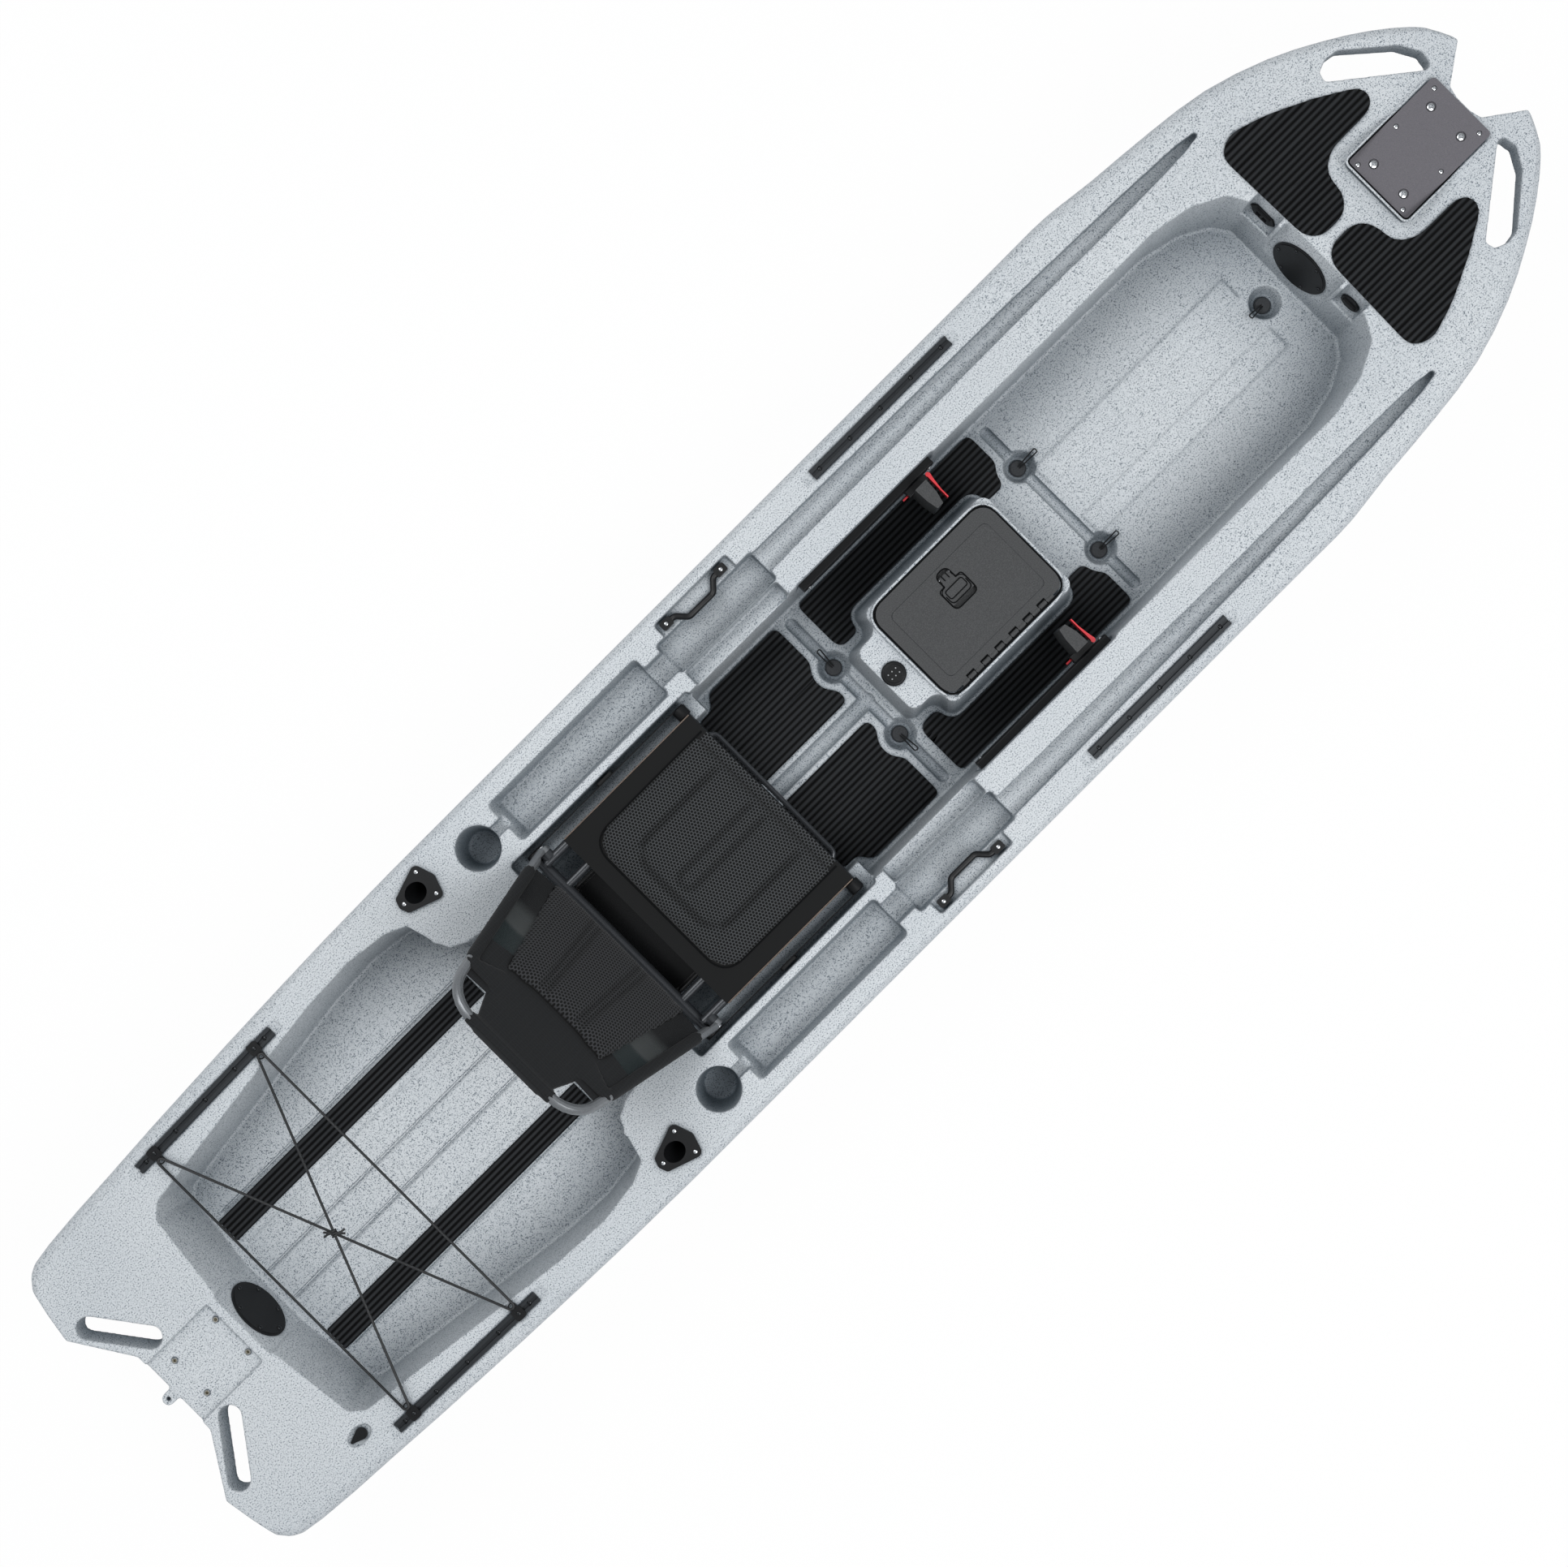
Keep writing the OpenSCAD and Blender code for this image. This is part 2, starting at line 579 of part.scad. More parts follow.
// Drain wells, drain channels and the ribs of the cockpit floor
module scupper_cuts() {
    for (s = SCUPPERS) translate([s[0], s[1], cockpit_floor_z(s[0])]) {
        translate([0, 0, -well_depth]) cylinder(well_depth, 24, well_r, $fn = 32);
        translate([0, 0, -0.01]) cylinder(20, well_r, well_r, $fn = 32);
        translate([0, 0, -300]) cylinder(300, scupper_r + 0.3, scupper_r + 0.3, $fn = 24);
    }
    for (run = [[[scupper_aft_x, -240], [scupper_aft_x, 240]], [[scupper_fwd_x, -236], [scupper_fwd_x, 236]],
            [[seat_front_x, 0], [scupper_aft_x, 0]]])
        hull() for (p = run) translate([p[0], p[1], floor_z - 4]) sphere(run[0][1] == 0 ? 18 : 13, $fn = 12);
}
module floor_ribs() {
    both_sides() hull() {
        for (x = [scupper_fwd_x + 22, bow_wall_x - 105]) translate([x, 46, cockpit_floor_z(x)]) {
            translate([0, 4, 0]) cube([0.01, 51, 5]);
            translate([0, 0, -20]) cube([0.01, 59, 21]);
        }
    }
}

module hull_moulding() {
    color("#C3C9CE") difference() {
        union() {
            difference() {
                hull_form();
                tankwell();
                seat_bay();
                cockpit();
                bow_cuts();
                stern_cuts();
                wall_niches();
            }
            console_pod();
            hatch_lip();
            floor_ribs();
            bow_plate_lip();
            mooring_eye();
        }
        both_sides() side_deck_cuts();
        tankwell_grooves();
        console_tub();
        scupper_cuts();
        track_beds();
        both_sides() rod_socket();
    }
}

// Gear tracks: an extruded channel with a T-slot, sunk half way into the deck
track_bed = 4;
module place_tracks(which) {
    if (which == "bow") translate([bow_track_x, bow_track_y, deck_h - track_bed]) children();
    if (which == "stern") translate([stern_track_x, stern_track_y, deck_h - track_bed])
        rotate([0, 0, stern_track_turn]) children();
}
module track_beds() {
    both_sides() {
        for (end = ["bow", "stern"]) place_tracks(end)
            translate([-track_l / 2 - 22, -track_w / 2 - 1, 0]) cube([track_l + 44, track_w + 2, 40]);
    }
}
slot_w = 8;
slot_in_w = 17;
slot_lip = 2.4;
slot_floor = 2.6;
screw_shank_r = 2.4;
screw_head_r = 4.6;
function track_screws() = [for (i = [-2:2]) i * track_pitch];
module gear_track() {
    color("#55585B") difference() {
        rotate([90, 0, 90]) translate([0, 0, -track_l / 2]) linear_extrude(track_l) difference() {
            polygon([[-track_w / 2, 0], [track_w / 2, 0], [track_w / 2, track_h - 1.5],
                [track_w / 2 - 1.5, track_h], [1.5 - track_w / 2, track_h], [-track_w / 2, track_h - 1.5]]);
            translate([-slot_w / 2, slot_floor]) square([slot_w, track_h]);
            translate([-slot_in_w / 2, slot_floor]) square([slot_in_w, track_h - slot_lip - slot_floor]);
        }
        for (x = track_screws()) {
            translate([x, 0, -1]) cylinder(6, screw_shank_r + 0.1, screw_shank_r + 0.1);
            translate([x, 0, slot_floor]) cylinder(20, screw_head_r + 1, screw_head_r + 1);
        }
    }
}
module bow_track_port() { place_tracks("bow") gear_track(); }
module bow_track_starboard() { mirror([0, 1, 0]) bow_track_port(); }
module stern_track_port() { place_tracks("stern") gear_track(); }
module stern_track_starboard() { mirror([0, 1, 0]) stern_track_port(); }

// A pan-head screw whose head rests on z = 0
module pan_screw(shank) {
    rotate_extrude() polygon([[0, -shank], [screw_shank_r, -shank], [screw_shank_r, 0], [screw_head_r, 0],
        [screw_head_r, 1.4], [3.2, 2.6], [0, 2.8]]);
}
module pan_head_screws() {
    color("#C9CCCF") {
        both_sides() {
            for (x = track_screws()) {
                place_tracks("bow") translate([x, 0, slot_floor]) pan_screw(2.4);
                place_tracks("stern") translate([x, 0, slot_floor]) pan_screw(2.4);
            }
            for (p = ROD_SCREWS) translate([rod_x + p[0], rod_y + p[1], deck_h + rod_flange_t]) pan_screw(5);
            for (x = [-1, 1]) translate([handle_x + x * handle_l / 2, handle_y, handle_seat_z + handle_block_h])
                pan_screw(10);
            for (x = [14, rail_l - 14]) translate([rail_x0 + x, rail_face_y, rail_z0 + rail_h / 2 + 11])
                rotate([90, 0, 0]) pan_screw(8);
            for (d = ANCHOR_OFFSETS) place_tracks("stern") translate([d, 0, track_h + anchor_t]) pan_screw(3);
        }
    }
}

// Flush rod holders: a flange on the deck and a tube that leans aft
rod_x = -807;
rod_y = half_w - 74;
rod_out_r = rod_r + rod_wall;
ROD_SCREWS = [[-38, 0], [28, 31], [27, -32]];
module on_rod_axis() {
    translate([rod_x, rod_y, deck_h]) rotate([0, -rod_lean, 0]) children();
}
module rod_socket() {
    on_rod_axis() translate([0, 0, -rod_l - 1])
        cylinder(rod_l + 60, rod_out_r + 0.6, rod_out_r + 0.6, $fn = 28);
}
module rod_flange() {
    hull() {
        translate([-38, 0]) circle(13);
        translate([-38, 14]) circle(8);
        translate([-38, -14]) circle(8);
        translate([28, 31]) circle(13);
        translate([27, -32]) circle(13);
        translate([36, 0]) circle(15);
    }
}
module rod_holder_port() {
    color("#202224") difference() {
        union() {
            translate([rod_x, rod_y, deck_h]) linear_extrude(rod_flange_t) rod_flange();
            intersection() {
                on_rod_axis() translate([0, 0, -rod_l]) cylinder(rod_l + 60, rod_out_r, rod_out_r);
                translate([rod_x - 200, rod_y - 100, deck_h - 300]) cube([400, 200, 300 + rod_flange_t]);
            }
        }
        on_rod_axis() translate([0, 0, rod_wall - rod_l]) cylinder(rod_l + 80, rod_r, rod_r);
        for (p = ROD_SCREWS) translate([rod_x + p[0], rod_y + p[1], deck_h - 1])
            cylinder(20, screw_shank_r + 0.1, screw_shank_r + 0.1);
    }
}
module rod_holder_starboard() { mirror([0, 1, 0]) rod_holder_port(); }

// Carry handles: two end blocks joined by a grip that bows inboard
handle_block_h = 16;
handle_bow = 24;
module carry_handle_port() {
    a = handle_l / 2;
    color("#1F2122") translate([handle_x, handle_y, handle_seat_z]) difference() {
        union() {
            for (s = [-1, 1]) translate([s * a, 0, 0]) linear_extrude(handle_block_h)
                block2d(s > 0 ? -15 : -13, s > 0 ? 13 : 15, -10, 10, 4);
            translate([0, 0, handle_block_h / 2]) bent_bar([[8 - a, 0], [24 - a, 0], [46 - a, -handle_bow],
                [a - 46, -handle_bow], [a - 24, 0], [a - 8, 0]], 14, grip_d);
        }
        for (s = [-1, 1]) translate([s * a, 0, -1]) cylinder(40, screw_shank_r + 0.1, screw_shank_r + 0.1);
    }
}
module carry_handle_starboard() { mirror([0, 1, 0]) carry_handle_port(); }

// Round bar along straight runs in the XY plane, with a bend of radius r at each inner point
function unit(v) = v / norm(v);
function turn(p, i) = let (u = unit(p[i] - p[i - 1]), w = unit(p[i + 1] - p[i]))
    atan2(u[0] * w[1] - u[1] * w[0], u * w);
function trim(p, i, r) = i == 0 || i == len(p) - 1 ? 0 : r * tan(abs(turn(p, i)) / 2);
// Stops along the bar's centre line, as [place, heading]
function bar_stops(p, r, steps) = concat([[p[0], heading(p, 0)]],
    [for (i = [1:len(p) - 2]) let (u = unit(p[i] - p[i - 1]), side = turn(p, i) > 0 ? 1 : -1,
            a = p[i] - u * trim(p, i, r), c = a + side * r * [-u[1], u[0]])
        for (k = [0:steps]) let (h = heading(p, i - 1) + turn(p, i) * k / steps)
            [c + side * r * [sin(h), -cos(h)], h]],
    [[p[len(p) - 1], heading(p, len(p) - 2)]]);
function heading(p, i) = let (v = p[i + 1] - p[i]) atan2(v[1], v[0]);
// Round tube through stops of [place, heading, height]
module tube_along(stops, d, sides) {
    polyhedron([for (q = stops) for (j = [0:sides - 1]) let (f = 360 * j / sides)
        [q[0][0] - d / 2 * cos(f) * sin(q[1]), q[0][1] + d / 2 * cos(f) * cos(q[1]), q[2] + d / 2 * sin(f)]],
        tube_faces(len(stops), sides), convexity = 6);
}
module bent_bar(p, r, d, steps = 6, sides = 12) {
    tube_along([for (q = bar_stops(p, r, steps)) [q[0], q[1], 0]], d, sides);
}

// Foredeck: the mounting plate, its screws and the two pads
bow_plate_x = half_l - 91 - bow_plate_l / 2;
function bow_small_holes() = [for (x = [17, bow_plate_l / 2, bow_plate_l - 17], y = [-1, 1])
    [x - bow_plate_l / 2, y * (bow_plate_w / 2 - 19), 0]];
function bow_bolts() = [for (x = [-1, 1], y = [-1, 1]) [x * bow_bolt_dx / 2 - 4, y * bow_bolt_dy / 2, 0]];
// A lip of the hull on three sides of the plate, open to the bow
plate_gap = 3;
plate_lip_w = 5;
module bow_plate_lip() {
    l = bow_plate_l / 2;
    w = bow_plate_w / 2 + plate_gap;
    root = 6;
    on_foredeck(bow_plate_x, 0) translate([0, 0, -root]) linear_extrude(root + bow_plate_t - 3) difference() {
        block2d(-l - plate_gap - plate_lip_w, l - 8, -w - plate_lip_w, w + plate_lip_w, 12);
        block2d(-l - plate_gap, l + 40, -w, w, 9);
    }
}
bolt_head_r = 9;
bolt_sink = 5;
screw_sink = 3.2;
// Every head is sunk, so that a bracket lies flat on the plate
module bow_plate() {
    color("#5A5558") on_foredeck(bow_plate_x, 0) difference() {
        linear_extrude(bow_plate_t)
            block2d(-bow_plate_l / 2, bow_plate_l / 2, -bow_plate_w / 2, bow_plate_w / 2, 9);
        for (p = bow_bolts()) translate(p) {
            translate([0, 0, -1]) cylinder(40, bow_bolt_r, bow_bolt_r);
            translate([0, 0, bow_plate_t - bolt_sink]) cylinder(20, bolt_head_r + 2, bolt_head_r + 2);
        }
        for (p = bow_small_holes()) translate(p) {
            translate([0, 0, -1]) cylinder(40, screw_shank_r + 0.1, screw_shank_r + 0.1);
            translate([0, 0, bow_plate_t - screw_sink]) cylinder(20, screw_head_r + 1, screw_head_r + 1);
        }
    }
}
module bow_plate_screws() {
    shank = bow_plate_t - bolt_sink - 1;
    color("#2A2B2D") on_foredeck(bow_plate_x, 0) {
        for (p = bow_bolts()) translate([p[0], p[1], bow_plate_t - bolt_sink]) rotate_extrude()
            polygon([[0, -shank], [bow_bolt_r - 0.1, -shank], [bow_bolt_r - 0.1, 0], [bolt_head_r, 0],
                [bolt_head_r, 2.6], [bolt_head_r - 2, 4.2], [4.5, 4.4], [4.5, 2.4], [0, 2.4]]);
        for (p = bow_small_holes()) translate([p[0], p[1], bow_plate_t - screw_sink])
            pan_screw(bow_plate_t - screw_sink - 1);
    }
}
bow_pad_hw = 306;
bow_pad_back = 509;
// Places along and across are shares of the pads' half width
module bow_pad_outline() {
    edge = bow_pad_hw * [[0, 0.131], [0.085, 0.042], [0.291, 0.042], [0.382, 0.131], [0.405, 0.34],
        [0.536, 0.425], [0.915, 0.428], [0.987, 0.484], [0.98, 0.582], [0.699, 0.758], [0.392, 0.912],
        [0.124, 1], [-0.02, 0.931]];
    translate([half_l - bow_pad_back, 0]) offset(16, $fn = 32) offset(-16) offset(-12, $fn = 32) offset(12)
        polygon(edge);
}
module bow_pad_port() {
    x = half_l - 340;
    color("#1D1E1F") on_foredeck(x, 0) linear_extrude(pad_t) translate([-x, 0]) bow_pad_outline();
}
module bow_pad_starboard() { mirror([0, 1, 0]) bow_pad_port(); }

// Oval cover plates on the bow and stern walls, with a raised rim
function oval(a, b, n = 48) = [for (i = [0:n - 1]) [a * cos(i * 360 / n), b * sin(i * 360 / n)]];
oval_screw_n = 6;
module oval_plate() {
    color("#1B1C1D") difference() {
        union() {
            linear_extrude(oval_t - 1.5) polygon(oval(oval_a, oval_b));
            linear_extrude(oval_t) polygon(oval(oval_a - 4, oval_b - 4));
        }
        for (i = [0:oval_screw_n - 1]) translate(oval_screw(i))
            translate([0, 0, -1]) cylinder(20, screw_shank_r + 0.1, screw_shank_r + 0.1);
    }
}
function oval_screw(i) = let (a = (i + 0.5) * 360 / oval_screw_n)
    [(oval_a - 11) * cos(a), (oval_b - 11) * sin(a), 0];
module oval_screws() {
    for (i = [0:oval_screw_n - 1]) translate(oval_screw(i)) translate([0, 0, oval_t]) pan_screw(oval_t - 1);
}
module bow_oval_plate() { on_bow_wall() oval_plate(); }
module stern_oval_plate() { on_stern_wall() oval_plate(); }
module oval_plate_screws() {
    color("#2A2B2D") {
        on_bow_wall() oval_screws();
        on_stern_wall() oval_screws();
    }
}

// Power socket and blanking plug beside the bow plate, each on its own flat
module power_port() {
    color("#1B1C1D") on_bow_wall() translate([46, 136, -2]) difference() {
        union() {
            linear_extrude(5) polygon([[-13, -24], [0, -35], [13, -24], [13, 24], [0, 35], [-13, 24]]);
            translate([-9, -20, 0]) cube([18, 40, 9]);
        }
        for (y = [-9, 9]) translate([-5, y - 6, 4]) cube([10, 12, 9]);
    }
}
module bow_wall_plug() {
    color("#1B1C1D") on_bow_wall() translate([44, -130, -2]) {
        linear_extrude(6) polygon(oval(17, 24, 32));
        translate([0, 0, 6]) linear_extrude(5) block2d(-4, 4, -18, 18, 3);
    }
}

// Floor pads and tankwell strips
module aft_floor_pad_port() {
    x0 = seat_front_x + 6;
    x1 = scupper_aft_x - 31;
    color("#1D1E1F") translate([0, 0, floor_z]) linear_extrude(pad_t) rounded(9) difference() {
        polygon([[x0, 31], [x1, 31], [x1, 260], [x0 + 66, 260], [x0 + 44, bay_hw - 4], [x0, bay_hw - 4]]);
        translate([scupper_aft_x, scupper_aft_y]) circle(well_r + 15);
    }
}
module aft_floor_pad_starboard() { mirror([0, 1, 0]) aft_floor_pad_port(); }
module side_floor_pad_port() {
    x0 = scupper_aft_x + 38;
    x1 = scupper_fwd_x - 31;
    color("#1D1E1F") translate([0, 0, floor_z]) linear_extrude(pad_t) rounded(9) difference() {
        translate([x0, 124]) square([x1 - x0, 136]);
        offset(9) console_outline();
        translate([scupper_fwd_x, scupper_fwd_y]) circle(well_r + 15);
        translate([scupper_aft_x, scupper_aft_y]) circle(well_r + 13);
    }
}
module side_floor_pad_starboard() { mirror([0, 1, 0]) side_floor_pad_port(); }
strip_y = 139;
strip_x0 = tank_x0 + 68;
strip_x1 = tank_front_x - 25;
module tankwell_strip_port() {
    ribs = 5;
    w = strip_w / ribs;
    color("#1D1E1F") translate([strip_x0, strip_y, tank_floor_z]) rotate([90, 0, 90])
        linear_extrude(strip_x1 - strip_x0) polygon(concat([[0, 0]], [for (i = [0:ribs - 1]) for (p = [[0.1, 0.6], [0.25, 1], [0.75, 1], [0.9, 0.6]])
            [(i + p[0]) * w, p[1] * strip_t]], [[strip_w, 0]]));
}
module tankwell_strip_starboard() { mirror([0, 1, 0]) tankwell_strip_port(); }

// Hatch: frame, gasket, hinge pin, lid and latch
hinge_y = barrel_r - lid_w / 2;
hinge_z = console_z + barrel_r + 2.8;
skirt_t = 3;
frame_gap = 2;
gasket_h = 3;
lid_z = console_z + frame_h + gasket_h + seat_gap;
KNUCKLES = [for (i = [0:5]) lid_cx + (i - 2.5) * knuckle_pitch];
module lid_outline(inset) {
    block2d(lid_x0 + inset, lid_x1 - inset, inset - lid_w / 2, lid_w / 2 - inset, lid_r - inset);
}
// Ring between two insets of the lid's outline, clear of the hinge on starboard
module hatch_ring(outer, inner) {
    difference() {
        intersection() {
            lid_outline(outer);
            translate([lid_x0, hinge_y + barrel_r + 1]) square([lid_l, lid_w]);
        }
        intersection() {
            lid_outline(inner);
            translate([lid_x0, hinge_y + barrel_r + 1 + inner - outer]) square([lid_l, lid_w]);
        }
    }
}
// Bar of radius r that starts at p and runs along X, or along Y
module bar_x(p, l, r) {
    translate(p) rotate([0, 90, 0]) cylinder(l, r, r);
}
module bar_y(p, l, r) {
    translate(p) rotate([-90, 0, 0]) cylinder(l, r, r);
}
frame_inset = skirt_t + frame_gap;
module hatch_frame() {
    color("#2B2D2F") difference() {
        union() {
            translate([0, 0, console_z]) linear_extrude(frame_h)
                hatch_ring(frame_inset, frame_inset + frame_rim);
            for (x = KNUCKLES) {
                bar_x([x - knuckle_l / 2, hinge_y, hinge_z], knuckle_l, barrel_r - 0.3);
                translate([x - knuckle_l / 2, hinge_y - 3, console_z]) cube([knuckle_l, 16, frame_h - 1]);
            }
        }
        bar_x([lid_x0, hinge_y, hinge_z], lid_l, pin_r + pin_gap);
    }
}
module hatch_gasket() {
    color("#111213") translate([0, 0, console_z + frame_h]) linear_extrude(gasket_h)
        hatch_ring(frame_inset + 4, frame_inset + 10);
}
hinge_l = KNUCKLES[5] - KNUCKLES[0] + 60;
module hatch_hinge_pin() {
    color("#B9BCBE") bar_x([KNUCKLES[0] - 30, hinge_y, hinge_z], hinge_l, pin_r);
}
latch_x = lid_cx;
latch_pivot_y = 72;
module latch_outline(grow) {
    offset(grow) rounded(5) union() {
        translate([latch_x, 27]) offset(14) square([38, 26], center = true);
        translate([latch_x - 17, 40]) square([34, 28]);
        translate([latch_x, 68]) circle(17);
    }
}
latch_depth = 9;
lid_panel_t = 1.5;
latch_pin_r = 2;
latch_pin_l = 42;
module hatch_lid() {
    color("#5B5C5E") difference() {
        union() {
            translate([0, 0, lid_z]) linear_extrude(lid_t) intersection() {
                lid_outline(0);
                translate([lid_x0, hinge_y]) square([lid_l, lid_w]);
            }
            translate([0, 0, lid_z + lid_t - 0.01]) linear_extrude(lid_panel_t)
                block2d(lid_x0 + 29, lid_x1 - 29, 34 - lid_w / 2, lid_w / 2 - 34, 14);
            translate([0, 0, console_z + 1]) linear_extrude(lid_z - console_z) difference() {
                intersection() {
                    lid_outline(0);
                    translate([lid_x0, hinge_y + 12]) square([lid_l, lid_w]);
                }
                lid_outline(skirt_t);
            }
            bar_x([KNUCKLES[0] - 30, hinge_y, hinge_z], hinge_l, barrel_r);
            translate([KNUCKLES[0] - 30, hinge_y, lid_z]) cube([hinge_l, 14, lid_t]);
            translate([0, 0, lid_z - 7]) linear_extrude(8) latch_outline(5);
        }
        for (x = KNUCKLES) translate([x - knuckle_l / 2 - 0.5, hinge_y - 10, console_z])
            cube([knuckle_l + 1, 18.5, 40]);
        bar_x([lid_x0, hinge_y, hinge_z], lid_l, pin_r + pin_gap);
        translate([0, 0, lid_z + lid_t + lid_panel_t - latch_depth]) linear_extrude(20) latch_outline(0);
        bar_x([latch_x - latch_pin_l / 2 - 2, latch_pivot_y, latch_z], latch_pin_l + 4, latch_pin_r);
    }
}
latch_z = lid_z + lid_t - 1.5;
finger_gap = 12;
neck_hw = 14;
module latch_paddle() {
    color("#4A4B4D") difference() {
        union() {
            translate([0, 0, lid_z + lid_t + lid_panel_t - 5]) linear_extrude(6) difference() {
                latch_outline(-2);
                translate([latch_x - 30, latch_pivot_y]) square([60, 40]);
                translate([latch_x - 40, -20]) square([80, 20 + finger_gap]);
                for (x = [-30, neck_hw]) translate([latch_x + x, latch_pivot_y - 10])
                    square([30 - neck_hw, 40]);
            }
            bar_x([latch_x - neck_hw - 0.5, latch_pivot_y, latch_z], 2 * neck_hw + 1, 3.8);
            translate([0, 0, lid_z + lid_t + 2]) linear_extrude(2)
                block2d(latch_x - 24, latch_x + 24, 25, 45, 5);
        }
        bar_x([latch_x - 30, latch_pivot_y, latch_z], 60, latch_pin_r + pin_gap);
    }
}
module latch_pin() {
    color("#B9BCBE") bar_x([latch_x - latch_pin_l / 2, latch_pivot_y, latch_z], latch_pin_l, latch_pin_r);
}
keypad_x = console_x0 + 39;
module control_pad() {
    color("#151617") translate([keypad_x, 0, console_z]) {
        rotate_extrude() polygon([[0, -14], [keypad_r - 5, -14], [keypad_r - 5, 0], [keypad_r, 0],
            [keypad_r, 4], [keypad_r - 3, 6.5], [keypad_r - 6, 6.5], [keypad_r - 7, 5], [0, 5]]);
    }
}

// Stern fittings
insert_boss_r = 6;
module stern_inserts() {
    color("#B5A26A") for (x = [-1, 1], y = [-1, 1])
        translate([insert_x + x * insert_dx / 2, y * insert_dy / 2, deck_h - panel_depth - 14]) difference() {
            cylinder(14.8, insert_boss_r, insert_boss_r);
            translate([0, 0, 2]) cylinder(20, insert_r, insert_r);
        }
}
module drain_plug() {
    color("#1B1C1D") translate([drain_x + 6, drain_y, deck_h - 7 + seat_gap]) {
        linear_extrude(6) hull() {
            circle(13);
            translate([-28, 0]) circle(3);
        }
        translate([0, 0, -14]) cylinder(14.5, 9, 9);
    }
}

// Bungee: four pad eyes on the stern tracks and one cord laced between them
anchor_t = 3;
ANCHOR_OFFSETS = [-156, 153];
anchor_in = 20;
module bungee_anchors() {
    color("#26282A") both_sides() place_tracks("stern") for (d = ANCHOR_OFFSETS) translate([d, 0, track_h]) {
        difference() {
            linear_extrude(anchor_t) block2d(-13, 13, -14, 14, 6);
            translate([0, 0, -1]) cylinder(20, screw_shank_r + 0.1, screw_shank_r + 0.1);
        }
        translate([0, -anchor_in, anchor_t / 2]) rotate_extrude() translate([8, 0]) circle(anchor_t / 2);
    }
}
bungee_z = deck_h - track_bed + track_h + anchor_t + bungee_d / 2;
function eye(i, side) = let (d = ANCHOR_OFFSETS[i])
    [stern_track_x + d, side * (stern_track_y + d * sin(stern_track_turn) - anchor_in - 4)];
knot_r = 7;
knot_l = 16;
knot_at = [stern_track_x, 0];
knot_rise = bungee_d / 2 + seat_gap + knot_r;
cord_bend_r = 7;
// The cord's route: from the knot round the forward eyes, over to the aft pair and back to the knot
LACING = [knot_at, eye(1, 1), eye(1, -1), eye(0, 1), eye(0, -1), knot_at];
function lace_turn(i, k) = let (h = heading(LACING, i - 1) + turn(LACING, i) * k / 6)
    [LACING[i] + sign(turn(LACING, i)) * cord_bend_r * [sin(h), -cos(h)], h, 0];
function lace_end(i, side) = let (h = heading(LACING, i))
    [knot_at + side * (knot_l / 2 + seat_gap) * [cos(h), sin(h)], h, knot_rise];
module bungee_cord() {
    color("#1A1B1C") translate([0, 0, bungee_z]) tube_along(concat([lace_end(0, 1)],
        [for (i = [1:4]) for (k = [0:6]) lace_turn(i, k)], [lace_end(4, -1)]), bungee_d, 10);
}
module bungee_knot() {
    color("#1A1B1C") translate([knot_at[0], knot_at[1], bungee_z + knot_rise]) {
        rotate([0, 0, heading(LACING, 0)]) rotate([0, 90, 0]) cylinder(knot_l, knot_r, knot_r, center = true);
        rotate([0, 0, -35]) rotate([0, 90, 0]) cylinder(64, bungee_d / 2, bungee_d / 2, center = true);
    }
}

// Foot braces: a rail on each wall, a pedal that slides along it and its release lever
rail_face_y = cockpit_hw - 0.3 - rail_t;
groove_h = 12;
groove_d = 8;
module foot_rail_port() {
    color("#1F2123") translate([rail_x0, rail_face_y, rail_z0]) difference() {
        rotate([90, 0, 90]) linear_extrude(rail_l) difference() {
            polygon([[0, 3], [3, 0], [rail_t, 0], [rail_t, rail_h], [3, rail_h], [0, rail_h - 3]]);
            translate([-1, (rail_h - groove_h) / 2]) square([groove_d + 1, groove_h]);
        }
        for (x = [14, rail_l - 14]) translate([x, -1, rail_h / 2 + 11]) rotate([-90, 0, 0])
            cylinder(12, screw_shank_r + 0.1, screw_shank_r + 0.1);
    }
}
module foot_rail_starboard() { mirror([0, 1, 0]) foot_rail_port(); }
pedal_x = 570;
carriage_t = 16;
module foot_pedal_port() {
    z_mid = rail_z0 + rail_h / 2;
    y1 = rail_face_y - 0.4;
    color("#4B4D4F") {
        translate([pedal_x - carriage_l / 2, y1 - carriage_t, rail_z0 + 2])
            cube([carriage_l, carriage_t, rail_h - 10]);
        translate([pedal_x - carriage_l / 2, y1 - 1, z_mid - groove_h / 2 + 0.4])
            cube([carriage_l, groove_d, groove_h - 0.8]);
        translate([pedal_x, y1 - carriage_t + 1, z_mid - pedal_h / 2]) rotate([0, 0, 180])
            linear_extrude(pedal_h)
            offset(2, $fn = 24) offset(-2) polygon([[-17, 0], [16, 0], [14, pedal_w * 0.6], [9, pedal_w],
                [-8, pedal_w], [-15, pedal_w * 0.55]]);
    }
}
module foot_pedal_starboard() { mirror([0, 1, 0]) foot_pedal_port(); }
lever_x = pedal_x + carriage_l / 2 + 5 + 2 * seat_gap;
lever_y = rail_face_y - 8;
